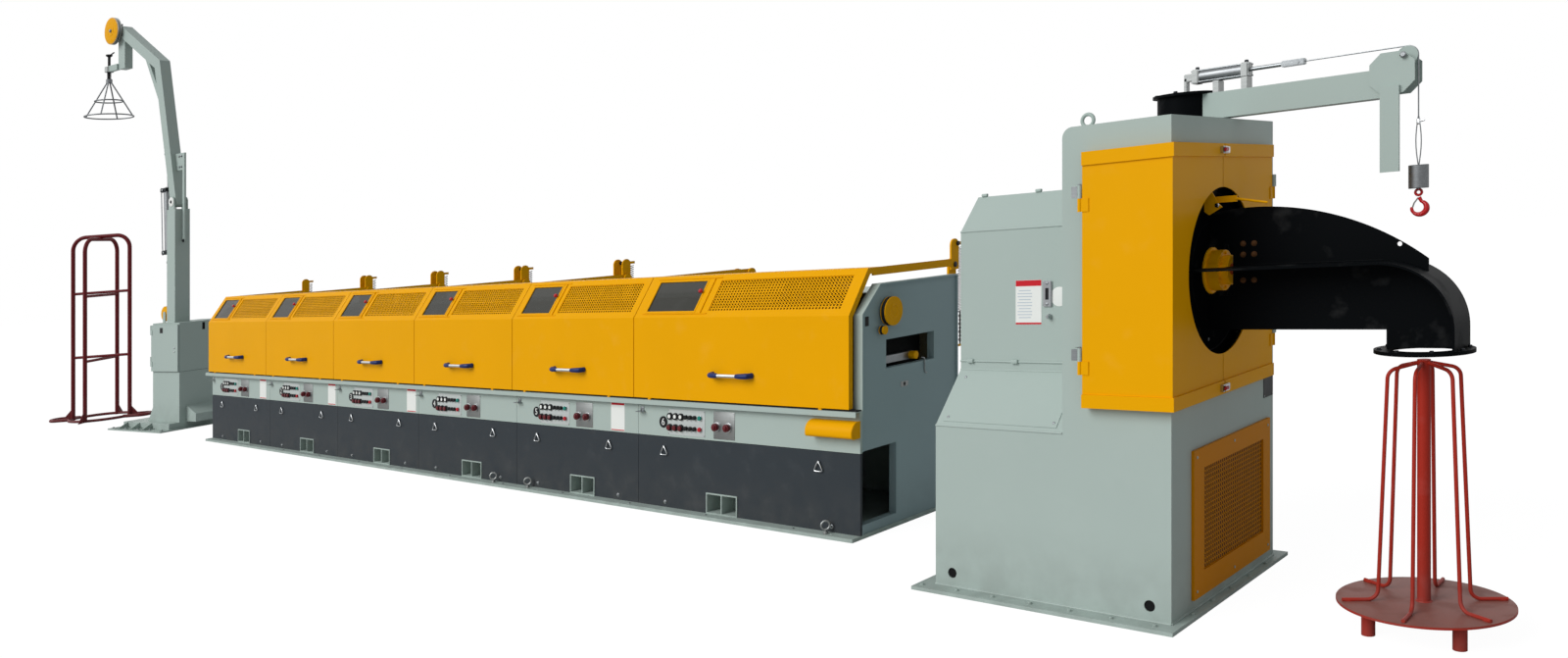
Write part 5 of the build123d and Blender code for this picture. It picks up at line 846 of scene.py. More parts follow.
class LINE_OT_control_strips(bpy.types.Operator):
    """Number badges, dial rows, knob plates and brackets along the strip"""

    bl_idname = "drawing_line.control_strips"
    bl_label = "Control strips"

    upper_row = 0.590
    lower_row = 0.521
    badge_place = (0.239, 0.550)
    button_column = 0.572

    def execute(self, context):
        rows = (self.upper_row, self.lower_row)
        dial_columns = [0.305 + 0.050 * column for column in range(3)]
        switch_columns = [0.450 + 0.038 * column for column in range(3)]
        knob_columns = (0.716, 0.812)
        knob_row = 0.546
        for number in BLOCKS:
            self.badge_digit(number, seams[number - 1])
        plate = {"tree": block_tree, "bevel": 0.0006}
        self.along_line("dial_plates", "dial_plate", [(0.449, 0.5545, 0.0, (0.324, 0.159, 0.002))], **plate)
        self.along_line("knob_plates", "plate_steel", [(0.7755, 0.5555, 0.0, (0.176, 0.165, 0.003))], **plate)
        self.discs("number_badges", "black_plastic", [(*self.badge_place, 0.0, 0.036, 0.003)], 40, 0.0)
        spots = [(x, z, 0.002, 0.0220, 0.012) for x in dial_columns for z in rows]
        self.discs("dials", "black_plastic", spots, 24, 0.0008)
        spots = [(x, self.upper_row, 0.014, 0.0120, 0.0012) for x in dial_columns]
        self.discs("dial_faces", "white_plate", spots, 24, 0.0)
        spots = [(x, self.lower_row, 0.014, 0.0160, 0.010) for x in dial_columns]
        self.discs("dark_buttons", "dark_red_plastic", spots, 20, 0.0012)
        spots = [(x, z, 0.002, 0.0135, 0.016) for x in switch_columns for z in rows]
        self.discs("small_switches", "black_plastic", spots, 18, 0.001)
        for name, z in (("teal", self.upper_row), ("red", self.lower_row)):
            spots = [(self.button_column, z, 0.004, 0.0140, 0.012)]
            self.discs(f"{name}_buttons", f"{name}_plastic", spots, 20, 0.0012)
        spots = [(self.button_column, z, 0.002, 0.0170, 0.004) for z in rows]
        spots += [(x, knob_row, 0.003, 0.0290, 0.006) for x in knob_columns]
        self.discs("button_bezels", "chrome", spots, 24, 0.0008)
        sizes = ((0.009, 0.0230, 0.022), (0.031, 0.0130, 0.008))
        spots = [(x, knob_row, *size) for x in knob_columns for size in sizes]
        self.discs("round_knobs", "dark_red_plastic", spots, 24, 0.002)
        bracket = [(0.040, 0.610, 0.0, (0.056, 0.004, 0.038)), (0.040, 0.624, 0.0, (0.030, 0.026, 0.005))]
        self.along_line("strip_brackets", "steel", bracket, tree=block_tree, bevel=0.0008)
        places = [(x, z) for x in (0.291, 0.607, 0.694, 0.857) for z in (0.482, 0.627)]
        places = [(start + x, panel_front - 0.002, z) for start in seams[:-1] for x, z in places]
        screws("strip_screws", places, FRONT, 0.0032)
        self.bare_labels((-3.040, -1.671, -0.347, 2.207))
        return {"FINISHED"}

    def along_line(self, name, material, spots, **options):
        """The same solids on every block's strip; spots hold (x, z, lift, size)."""
        items = []
        for start in seams[:-1]:
            items += [front_item(start + x, panel_front - lift, z, size) for x, z, lift, size in spots]
        scatter(name, items, material, **options)

    def discs(self, name, material, spots, sides, bevel):
        """Round solids on every strip; spots hold (x, z, lift, radius, height)."""
        spots = [(x, z, lift, (radius, radius, height)) for x, z, lift, radius, height in spots]
        self.along_line(name, material, spots, sides=sides, bevel=bevel)

    def bare_labels(self, places):
        """White labels with red bands and no lettering."""
        plate = 0.0012
        labels = [front_item(x, panel_front, 0.5615, (0.138, 0.185, plate)) for x in places]
        bands = []
        for x in places:
            for z, height in ((0.6430, 0.014), (0.4740, 0.006)):
                bands.append(front_item(x, panel_front - plate, z, (0.130, height, 0.0004)))
        scatter("strip_labels", labels, "white_plate", block_tree, smooth=False)
        scatter("strip_label_bands", bands, "label_red", block_tree, smooth=False)

    def badge_digit(self, number, start):
        text = bpy.data.curves.new(f"badge_digit_{number}", "FONT")
        text.body = str(number)
        text.size = 0.062
        text.extrude = 0.0006
        text.align_x = "CENTER"
        text.align_y = "CENTER"
        holder = bpy.data.objects.new(f"badge_text_{number}", text)
        bpy.context.scene.collection.objects.link(holder)
        data = evaluated_mesh(holder)
        bpy.data.objects.remove(holder)
        turn = Matrix.Rotation(math.radians(90), 4, "X")
        x, z = self.badge_place
        data.transform(Matrix.Translation((start + x, panel_front - 0.0036, z)) @ turn)
        settle(bpy.data.objects.new(f"badge_digit_{number}", data), "white_plate", smooth=False)


class LINE_OT_lower_panels(bpy.types.Operator):
    """Ring latches, panel bolts, eyebolts, the seal under the hoods and base screws"""

    bl_idname = "drawing_line.lower_panels"
    bl_label = "Lower panels"

    def execute(self, context):
        y, latch_height, bolt_height = panel_front, 0.397, 0.052
        half = [(0.008, -0.006), (0.017, -0.021), (0.028, -0.041), (0.026, -0.048), (0.014, -0.050)]
        loop = [(0, 0.002)] + half + [(-across, drop) for across, drop in reversed(half)]
        rings = bmesh.new()
        studs, places = [], []
        for start, end in zip(seams[:-1], seams[1:]):
            for x in (start + 0.251, end - 0.289):
                studs.append(front_item(x, y, latch_height, (0.0085, 0.0085, 0.012)))
                points = [(x + across, y - 0.010, latch_height + drop) for across, drop in loop]
                add_tube(rings, points, 0.0036, 8, closed=True)
            places += [(start + 0.255, y, bolt_height), (end - 0.20, y, bolt_height)]
        piece("latch_rings", rings, "chrome", slot="bright_steel")
        scatter("latch_studs", studs, "chrome", sides=16, bevel=0.001)
        bolts("panel_bolts", places, FRONT, "chrome", 0.8)
        eyes = bmesh.new()
        y, foot = -0.520, 0.020
        for x in (4.005, 1.273, 0.852):
            add_torus(eyes, (x, y, 0.066), (1, -1, 0), 0.0235, 0.0062, 28, 10)
            add_rod(eyes, (x, y, foot), (x, y, 0.044), 0.007, 12)
            add_turned(eyes, (x, y, foot), Z_AXIS, [(0.014, 0), (0.014, 0.008), (0.010, 0.012)], 18)
        piece("floor_eyes", eyes, "plate_steel")
        corners = [((ledge_low.x + 0.06, -0.512, 0.6902), (ledge_high.x, -0.470, 0.6962))]
        blocks("hood_seal", "rubber_seal", corners, 0.001)
        places = [(seams[0] + 0.28 + 0.70 * step, -0.518, foot) for step in range(12)]
        screws("base_screws", places, Z_AXIS, 0.008)
        return {"FINISHED"}


class LINE_OT_end_frame(bpy.types.Operator):
    """Wheel faces, box cover, die roller, plates, bent rod and light rim of the outlet end"""

    bl_idname = "drawing_line.end_frame"
    bl_label = "Outlet end"

    def execute(self, context):
        self.wheels()
        x = end_face
        corners = [((x, -0.425, 1.138), (x + 0.003, -0.395, 1.190))]
        blocks("end_plate_black", "black_plastic", corners, 0.0008)
        self.box_cover()
        mesh = bmesh.new()
        route = (
            (-0.012, 0.112, 0.905), (0.002, 0.118, 0.902), (0.005, 0.119, 0.895), (0.005, 0.119, 0.83),
            (0.006, 0.122, 0.818), (0.007, 0.140, 0.815),
        )
        add_tube(mesh, [(x + out, y, z) for out, y, z in route], 0.0035, 8)
        piece("bent_rod", mesh, "steel")
        blocks("end_stamp", "plate_steel", [((x, -0.105, 0.765), (x + 0.0015, -0.035, 0.795))], 0.0005)
        hole = (x + 0.0014, -0.070, 0.780)
        turned("end_stamp_hole", "black_plastic", hole, X_AXIS, [(0.010, 0), (0.010, 0.001)], 20)
        x = base_high.x
        # Dark blocks behind the window and the cutout: painted shade of the frame's inside
        blocks("window_shade", "inner_shade", [((x - 0.14, -0.20, 0.86), (x - 0.13, 0.24, 1.08))])
        blocks("cutout_shade", "inner_shade", [((x - 0.30, -0.46, 0.06), (x - 0.29, -0.15, 0.46))])
        low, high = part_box("die_bar")
        centre = (high.x, high.y - 0.022, (low.z + high.z) / 2)
        profile = [(0.0226, -0.040), (0.0226, 0.0), (0.020, 0.0012), (0.001, 0.0012)]
        turned("die_roller_cover", "hood_paint", centre, X_AXIS, profile, 28)
        self.light_rim()
        return {"FINISHED"}

    def wheels(self):
        """Painted face and rubber tyre of the outlet wheel and of its roller."""
        for node, face, tyre, face_profile, tyre_profile, sides in (
            (
                "outlet_wheel", "wheel_face", "wheel_tyre",
                [(0.0795, -0.0065), (0.0795, -0.0005), (0.078, 0.0008), (0.040, 0.0008), (0.038, 0.0022),
                 (0.032, 0.0022), (0.030, 0.0008), (0.001, 0.0008)],
                [(0.070, -0.001), (0.0800, 0.001), (0.0800, 0.024), (0.0785, 0.0275)],
                56,
            ),
            (
                "outlet_roller", "roller_face", "roller_tread",
                [(0.0235, -0.001), (0.022, 0.0012), (0.010, 0.0012), (0.008, 0.0035), (0.001, 0.0035)],
                [(0.020, -0.001), (0.0240, 0.001), (0.0240, 0.018), (0.023, 0.021)],
                32,
            ),
        ):
            low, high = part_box(node)
            y, z = (low.y + high.y) / 2, (low.z + high.z) / 2
            options = {"body": node, "slot": "hood_yellow"}
            turned(face, "hood_paint", (high.x, y, z), X_AXIS, face_profile, sides, **options)
            turned(tyre, "rubber_seal", (low.x, y, z), X_AXIS, tyre_profile, sides, body=node)

    def box_cover(self):
        """Outlet box with its nose rounded about X, and a lip round its open end."""
        low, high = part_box("outlet_box")
        height = high.z - low.z
        upper_share, lower_share, arc_steps = 0.66, 0.24, 8
        upper, lower = upper_share * height, lower_share * height
        outline = [(low.x, high.y, high.z)]
        for radius, start, centre in ((upper, 90, high.z - upper), (lower, 180, low.z + lower)):
            for count in range(arc_steps + 1):
                angle = math.radians(start + 90 * count / arc_steps)
                y = low.y + radius + radius * math.cos(angle)
                outline.append((low.x, y, centre + radius * math.sin(angle)))
        outline.append((low.x, high.y, low.z))
        mesh = bmesh.new()
        add_prism(mesh, outline, (high.x - low.x, 0, 0))
        box_cover = piece("outlet_box_cover", mesh, "hood_paint", slot="hood_yellow")
        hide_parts("outlet_box")
        mesh = bmesh.new()
        add_tube(mesh, [(high.x - 0.004, y, z) for _, y, z in outline], 0.003, 6)
        piece("outlet_box_lip", mesh, "hood_paint", slot="hood_yellow")

    def light_rim(self):
        """Thin light band over the front edge and bevel of the end frame."""
        outer = [(-0.4625, 0.665), (-0.4625, 1.2055), (-0.3023, 1.3605), (0.450, 1.3605)]
        inner = [(-0.4605, 0.665), (-0.4605, 1.2045), (-0.3015, 1.3585), (0.450, 1.3585)]
        x_low, x_high = base_high.x - 0.0585, base_high.x + 0.0003
        mesh = bmesh.new()
        for step in range(3):
            around = (outer[step], outer[step + 1], inner[step + 1], inner[step])
            add_prism(mesh, [(x_low, y, z) for y, z in around], (x_high - x_low, 0, 0))
        piece("end_rim_band", mesh, "body_paint", smooth=False, slot="line_grey")


class LINE_OT_takeup(bpy.types.Operator):
    """Labels, gauge, welds, lugs, vent mesh, latches and floor bolts of the coil take-up"""

    bl_idname = "drawing_line.takeup"
    bl_label = "Coil take-up"

    left, column, right = 5.030, 5.670, 6.145
    front, step = -0.955, -0.750
    door_split = -0.503
    latch_heights = (0.8895, 1.8845)

    def execute(self, context):
        self.notices()
        self.welds_and_lugs()
        self.slope_cover()
        self.foot()
        self.vent()
        self.latches()
        self.hinge_leaves()
        x = self.right
        corners = [((x, 0.030, 0.760), (x + 0.002, 0.146, 0.872))]
        blocks("rating_plate_bare", "black_plastic", corners, 0.0005)
        places = [(x + 0.002, y, z) for y in (0.038, 0.138) for z in (0.768, 0.864)]
        screws("rating_screws", places, X_AXIS, 0.004)
        return {"FINISHED"}

    def notices(self):
        """Notice plate with bare lines, sight gauge, drain knob and level disc."""
        y = self.step
        blocks("notice_plate", "white_plate", [((5.325, y - 0.0012, 1.179), (5.456, y, 1.379))], 0.0003)
        heights = ((1.352, 1.378), (1.180, 1.188))
        corners = [((5.326, y - 0.0018, low), (5.455, y - 0.0011, high)) for low, high in heights]
        blocks("notice_bands", "label_red", corners, smooth=False)
        lines = []
        for row in range(10):
            width = 0.074 if row % 3 else 0.060
            lines.append(front_item(5.372, y - 0.0011, 1.332 - 0.0135 * row, (width, 0.004, 0.0005)))
        scatter("notice_lines", lines, "label_ink", block_tree, smooth=False)
        blocks("sight_gauge", "chrome", [((5.466, y - 0.010, 1.259), (5.510, y, 1.373))], 0.003)
        corners = [((5.480, y - 0.0112, 1.290), (5.496, y - 0.0098, 1.342))]
        blocks("sight_gauge_slot", "black_plastic", corners, 0.0004)
        screws("gauge_screws", [(5.488, y - 0.010, z) for z in (1.270, 1.362)], FRONT, 0.006)
        profile = [(0.012, 0), (0.012, 0.006), (0.009, 0.010), (0.009, 0.022), (0.006, 0.026)]
        turned("drain_knob", "chrome", (5.498, y, 1.215), FRONT, profile, 22)
        profile = [(0.043, 0), (0.043, 0.001), (0.040, 0.0014)]
        turned("level_disc", "white_plate", (5.545, y, 1.302), FRONT, profile)

    def welds_and_lugs(self):
        left, column, front, step = self.left, self.column, self.front, self.step
        levels = ((step, 1.615), (step, 0.970), (front, 0.742))
        ends = [((left, y, z), (column, y, z)) for y, z in levels]
        ends.append(((column, step - 0.001, 0.975), (column, step - 0.001, 1.61)))
        ends.append(((left, step - 0.002, 1.010), (column, step - 0.002, 1.010)))
        rods("panel_welds", "body_paint", ends, 0.0045)
        lugs = [((x, -0.600, 1.775), Z_AXIS, X_AXIS, (0.030, 0.018, 0.014)) for x in (5.067, 5.356)]
        lugs += [front_item(x, step, 1.011, (0.034, 0.018, 0.014)) for x in (5.087, 5.322)]
        scatter("cover_lugs", lugs, "body_paint", block_tree, bevel=0.004)

    def slope_cover(self):
        """Screwed cover on the sloping panel under the step."""
        run, rise, bottom = 0.205, 0.228, 0.742
        size = math.hypot(run, rise)
        slope = Vector((0, run, rise)) / size
        outward = Vector((0, -rise, run)) / size

        def on_cover(x, up, out):
            return Vector((x, self.front, bottom)) + slope * up + outward * out

        corners = [((self.left + 0.030, 0.022, 0.0), (self.column - 0.035, size - 0.018, 0.003))]
        blocks("slope_cover", "body_paint", corners, 0.0008, on_cover)
        columns = (self.left + 0.05, self.column - 0.055)
        places = [on_cover(x, up, 0.003) for x in columns for up in (0.045, size - 0.045)]
        screws("cover_screws", places, outward, 0.006)

    def foot(self):
        """Tie holes as dark discs of painted shade, foot bolts and the weld along the floor."""
        mesh = bmesh.new()
        for x in (5.120, 6.055):
            add_turned(mesh, (x, self.front + 0.006, 0.078), FRONT, [(0.0229, 0), (0.0229, 0.001)], 28)
        piece("tie_hole_shades", mesh, "inner_shade")
        places = [(4.985 + 0.185 * count, -0.995, 0.016) for count in range(7)]
        places += [(6.166, -0.80 + 0.20 * count, 0.016) for count in range(5)]
        bolts("foot_bolts", places, Z_AXIS, "body_paint", 0.7)
        z = 0.018
        corner = (self.right, self.front, z)
        ends = [((self.left, self.front, z), corner), (corner, (self.right, 0.15, z))]
        rods("foot_weld", "body_paint", ends, 0.0055)

    def vent(self):
        low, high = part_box("vent_grille")
        y_low, y_high = low.y + 0.100, high.y - 0.084
        z_low, z_high = low.z + 0.100, high.z - 0.084
        x, bar, thick = self.right + 0.0032, 0.0065, 0.0016
        items = []
        for count in range(34):
            place = (x, y_low + (y_high - y_low) * count / 33, (z_low + z_high) / 2)
            items.append((place, X_AXIS, Y_AXIS, (bar, z_high - z_low, thick)))
        for count in range(22):
            place = (x, (y_low + y_high) / 2, z_low + (z_high - z_low) * count / 21)
            items.append((place, X_AXIS, Y_AXIS, (y_high - y_low, bar, thick)))
        scatter("vent_mesh", items, "vent_paint", block_tree, smooth=False, slot="hood_yellow")
        corners = [((self.right + 0.0031, y_low, z_low), (self.right + 0.0034, y_high, z_high))]
        blocks("vent_shadow", "vent_dark", corners, smooth=False)
        inset = 0.03
        columns = (low.y + inset, (low.y + high.y) / 2, high.y - inset)
        places = [(high.x, y, z) for y in columns for z in (low.z + inset, high.z - inset)]
        screws("vent_screws", places, X_AXIS, 0.006, "body_paint")

    def latches(self):
        x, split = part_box("takeup_front_door")[1].x - 0.014, self.door_split
        silver, red = bmesh.new(), bmesh.new()
        for z in self.latch_heights:
            add_block(silver, (x - 0.001, split - 0.048, z - 0.015), (x + 0.0145, split, z + 0.015), 0.002)
            for height in (z + 0.010, z - 0.010):
                add_rod(silver, (x + 0.018, split - 0.040, height), (x + 0.018, split - 0.002, height), 0.003)
            lever = (x + 0.014, split - 0.044, z - 0.008), (x + 0.024, split - 0.010, z + 0.008)
            add_block(red, *lever, 0.003)
        piece("door_latch_bases", silver, "chrome", body="takeup_front_door")
        piece("door_latch_levers", red, "red_plastic", body="takeup_front_door")
        half = 0.014
        corners = [((x, -0.494, z - half), (x + 0.010, -0.468, z + half)) for z in self.latch_heights]
        blocks("door_latch_keeps", "chrome", corners, 0.002, body="takeup_rear_door")

    def hinge_leaves(self):
        x, y = 5.774, -1.000
        mesh = bmesh.new()
        for z in (1.052, 1.722):
            add_rod(mesh, (x, y, z + 0.0553), (x, y, z + 0.060), 0.0075, 14)
            add_block(mesh, (5.7395, -1.0052, z + 0.004), (5.7655, -1.0042, z + 0.051), 0.0003)
        piece("hinge_pins", mesh, "steel")


class LINE_OT_winding(bpy.types.Operator):
    """Hub rings, recess, lever details, dish bolts and trunk welds"""

    bl_idname = "drawing_line.winding"
    bl_label = "Winding head and trunk"

    def execute(self, context):
        face, y, z = 6.120, -0.500, 1.380
        mesh = bmesh.new()
        profile = [(0.098, 0), (0.098, 0.006), (0.092, 0.010), (0.0865, 0.010)]
        add_turned(mesh, (face, y, z), X_AXIS, profile, 48)
        profile = [(0.0615, -0.004), (0.0615, 0.0), (0.058, 0.003), (0.030, 0.003)]
        add_turned(mesh, (face + 0.088, y, z), X_AXIS, profile)
        piece("hub_rings", mesh, "hood_paint", slot="hood_yellow")
        centre = (face + 0.0905, y - 0.012, z + 0.004)
        turned("hub_recess", "hub_rust", centre, X_AXIS, [(0.024, 0), (0.024, 0.001), (0.020, 0.0016)], 28)

        def ring(x, radius, count, shift):
            angles = turn_angles(count, shift)
            return [(x, y + radius * math.cos(angle), z + radius * math.sin(angle)) for angle in angles]

        bolts("hub_bolts", ring(face + 0.060, 0.073, 6, 0.5), X_AXIS, "hood_paint", 0.6)
        screws("dish_screws", ring(face, 0.29, 10, 0.3), X_AXIS, 0.008, "dark_steel")
        mesh = bmesh.new()
        add_torus(mesh, (face - 0.001, y, z), X_AXIS, 0.334, 0.003, 72, 6)
        add_torus(mesh, (face - 0.001, y, z), X_AXIS, 0.205, 0.0025, 60, 6)
        piece("dish_beads", mesh, "trunk_paint", slot="black_steel")
        self.lever(face, y - 0.075, 1.690)
        self.trunk(face, y, z)
        return {"FINISHED"}

    def lever(self, face, y, top):
        shape = ((0, 0.045), (0.016, 0.050), (0.060, -0.030), (0.075, -0.045), (0.020, -0.075), (0, -0.060))
        mesh = bmesh.new()
        add_prism(mesh, [(face + out, y, top + rise) for out, rise in shape], (0, 0.007, 0))
        piece("lever_plate", mesh, "hood_paint", slot="hood_yellow")
        screws("lever_screw", [(face + 0.055, y, top - 0.036)], FRONT, 0.010, "chrome")

    def trunk(self, face, y, z):
        """Weld lines along the fin, and the bolts at the trunk's root and ring."""
        plate_y = y - 0.004
        ends = [((face + 0.11, plate_y, height), (6.79, plate_y, height)) for height in (1.3865, 1.3975)]
        rods("trunk_welds", "trunk_paint", ends, 0.004, 6, slot="black_steel")
        columns = (face + 0.135, face + 0.180)
        root = [(x, plate_y, height) for x in columns for height in (z + 0.062, z + 0.107)]
        root += [(x, plate_y, z - 0.045) for x in columns]
        bolts("trunk_root_bolts", root, FRONT, "root_bolt", 0.75)
        x, radius = (6.800 + 7.057) / 2, 0.152
        places = [(x + radius * math.cos(a), y + radius * math.sin(a), 1.060) for a in turn_angles(8, 0.5)]
        bolts("trunk_ring_bolts", places, Z_AXIS, "dark_steel", 0.7)


class LINE_OT_jib(bpy.types.Operator):
    """Hoist cylinder with tie rods, rope with its loop, hook and latch"""

    bl_idname = "drawing_line.jib"
    bl_label = "Jib hoist"

    rope_radius = 0.0027
    sheave_radius = 0.039

    def execute(self, context):
        low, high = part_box("hoist_cylinder")
        y, z = (low.y + high.y) / 2, high.z - 0.032
        start, end = 5.940, 6.190
        self.cylinder(start, end, y, z)
        rope_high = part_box("hoist_rope")[1]
        drop = rope_high.x - self.rope_radius
        sheave = (drop - self.sheave_radius, rope_high.z - self.rope_radius - self.sheave_radius)
        self.rope(end, drop, sheave, y, z)
        self.hook(drop, y)
        profile = [
            (0.020, -0.001), (0.0345, -0.001), (0.0362, 0.0015), (0.0362, 0.0905), (0.0345, 0.0925),
            (0.014, 0.0925), (0.013, 0.088),
        ]
        shell = turned("weight_shell", "cast_drum", (drop, y, 1.665), Z_AXIS, profile, 44, body="jib")
        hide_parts("hook_weight")
        profile = [(0.013, 0), (0.013, 0.006), (0.009, 0.009)]
        mesh = bmesh.new()
        for depth, axis in ((-0.066, FRONT), (0.058, Y_AXIS)):
            add_turned(mesh, (sheave[0], y + depth, sheave[1]), axis, profile, 6)
        piece("sheave_nuts", mesh, "steel", body="jib")
        radius = 0.118
        angles = (0.9, 2.2, 3.5, 4.8)
        ring = [(5.895 + radius * math.cos(a), -0.250 + radius * math.sin(a), 2.1653) for a in angles]
        bolts("jib_drum_bolts", ring, Z_AXIS, "dark_steel", 0.8, body="jib")
        return {"FINISHED"}

    def cylinder(self, start, end, y, z):
        """Barrel between two caps on feet, tie rods, piston rod with its clevis, and ports."""
        radius, length = 0.0275, 0.190
        silver = "cylinder_silver"
        options = {"body": "jib", "slot": silver}
        barrel = [(radius, 0), (radius, length)]
        tube = turned("hoist_barrel", silver, (start + 0.030, y, z), X_AXIS, barrel, 32, **options)
        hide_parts("hoist_cylinder")
        cap, foot, tail = 0.032, 0.030, 0.017
        mesh = bmesh.new()
        for x in (start, end - cap):
            add_block(mesh, (x, y - cap, z - cap), (x + cap, y + cap, z + cap), 0.004)
        for x in (6.036, end - foot):
            add_block(mesh, (x, y - foot, 2.152), (x + 0.028, y + foot, z - foot), 0.002)
        add_block(mesh, (start - 0.040, y - tail, z - tail), (start, y + tail, z + tail), 0.003)
        add_block(mesh, (start - 0.040, y - tail, 2.1655), (start - 0.026, y + tail, z), 0.002)
        piece("hoist_caps", mesh, "plate_steel", body="jib")
        mesh = bmesh.new()
        reach = 0.025
        for side in (y - reach, y + reach):
            for height in (z - reach, z + reach):
                add_rod(mesh, (start - 0.002, side, height), (end + 0.003, side, height), 0.0038)
        add_rod(mesh, (end, y, z), (end + 0.140, y, z), 0.009, 18)
        add_block(mesh, (end + 0.135, y - tail, z - 0.013), (end + 0.230, y + tail, z + 0.013), 0.003)
        add_rod(mesh, (end + 0.205, y - 0.020, z), (end + 0.205, y + 0.020, z), 0.006, 14)
        piece("hoist_rods", mesh, "steel", body="jib")
        mesh = bmesh.new()
        for x in (start + 0.016, end - 0.016):
            add_turned(mesh, (x, y, z + cap), Z_AXIS, [(0.009, 0), (0.009, 0.008), (0.007, 0.012)], 6)
        piece("hoist_ports", mesh, "dark_steel", body="jib")

    def rope(self, end, drop, sheave, y, z):
        """Rope over the head sheave, ending in a loop held by a clamp."""
        x, height = sheave
        radius, arc_steps = self.sheave_radius, 8
        path = [(end + 0.228, y, z), (x - 0.02, y, z)]
        for count in range(arc_steps + 1):
            angle = math.radians(90 - 90 * count / arc_steps)
            path.append((x + radius * math.cos(angle), y, height + radius * math.sin(angle)))
        path.append((drop, y, 1.945))
        mesh = bmesh.new()
        add_tube(mesh, path, self.rope_radius, 8)
        bow, gap, loop_top, loop_length = 0.0085, 0.0012, 1.950, 0.194
        for side in SIDES:
            strand = []
            for count in range(arc_steps + 1):
                share = count / arc_steps
                out = drop + side * bow * math.sin(math.pi * share) + side * gap
                strand.append((out, y, loop_top - loop_length * share))
            add_tube(mesh, strand, 0.0022, 8)
        wire = piece("hoist_wire", mesh, "steel", body="jib", slot="rope")
        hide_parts("hoist_rope")
        mesh = bmesh.new()
        profile = [(0.005, 0), (0.0075, 0.003), (0.0075, 0.020), (0.005, 0.024)]
        add_turned(mesh, (drop, y, 1.918), Z_AXIS, profile, 16)
        add_rod(mesh, (drop, y, 1.930), (drop + 0.022, y, 1.934), 0.0048, 10)
        piece("rope_clamp", mesh, "chrome", body="jib")

    def hook(self, x, y):
        """Forged hook that thickens at its bend, with eye, latch and link."""
        top = 1.6665
        centre = top - 0.080
        radius, steps = 0.027, 21
        points, sizes = [(x + 0.002, y, centre + 0.042)], [0.0075]
        for count in range(steps + 1):
            share = count / steps
            angle = math.radians(72 - 262 * share)
            height = centre + radius * 0.98 * math.sin(angle)
            points.append((x + 0.002 + radius * math.cos(angle), y, height))
            sizes.append(0.0062 + 0.0052 * math.sin(math.pi * min(1.0, share * 1.25)))
        sizes[-1] = 0.004
        mesh = bmesh.new()
        add_tube(mesh, points, sizes, 14)
        add_torus(mesh, (x, y, top - 0.018), Y_AXIS, 0.0115, 0.0052, 26, 10)
        hook = piece("forged_hook", mesh, "hook_paint", body="jib", slot="red_paint")
        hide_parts("lifting_hook")
        route = ((0.002, 0.040), (0.016, 0.020), (0.022, 0.002))
        mesh = bmesh.new()
        add_tube(mesh, [(x - back, y, centre + rise) for back, rise in route], 0.0032, 8)
        piece("hook_latch", mesh, "chrome", body="jib")
        rods("hook_link", "steel", [((x, y, top - 0.010), (x, y, 1.680))], 0.005, 10, body="jib")


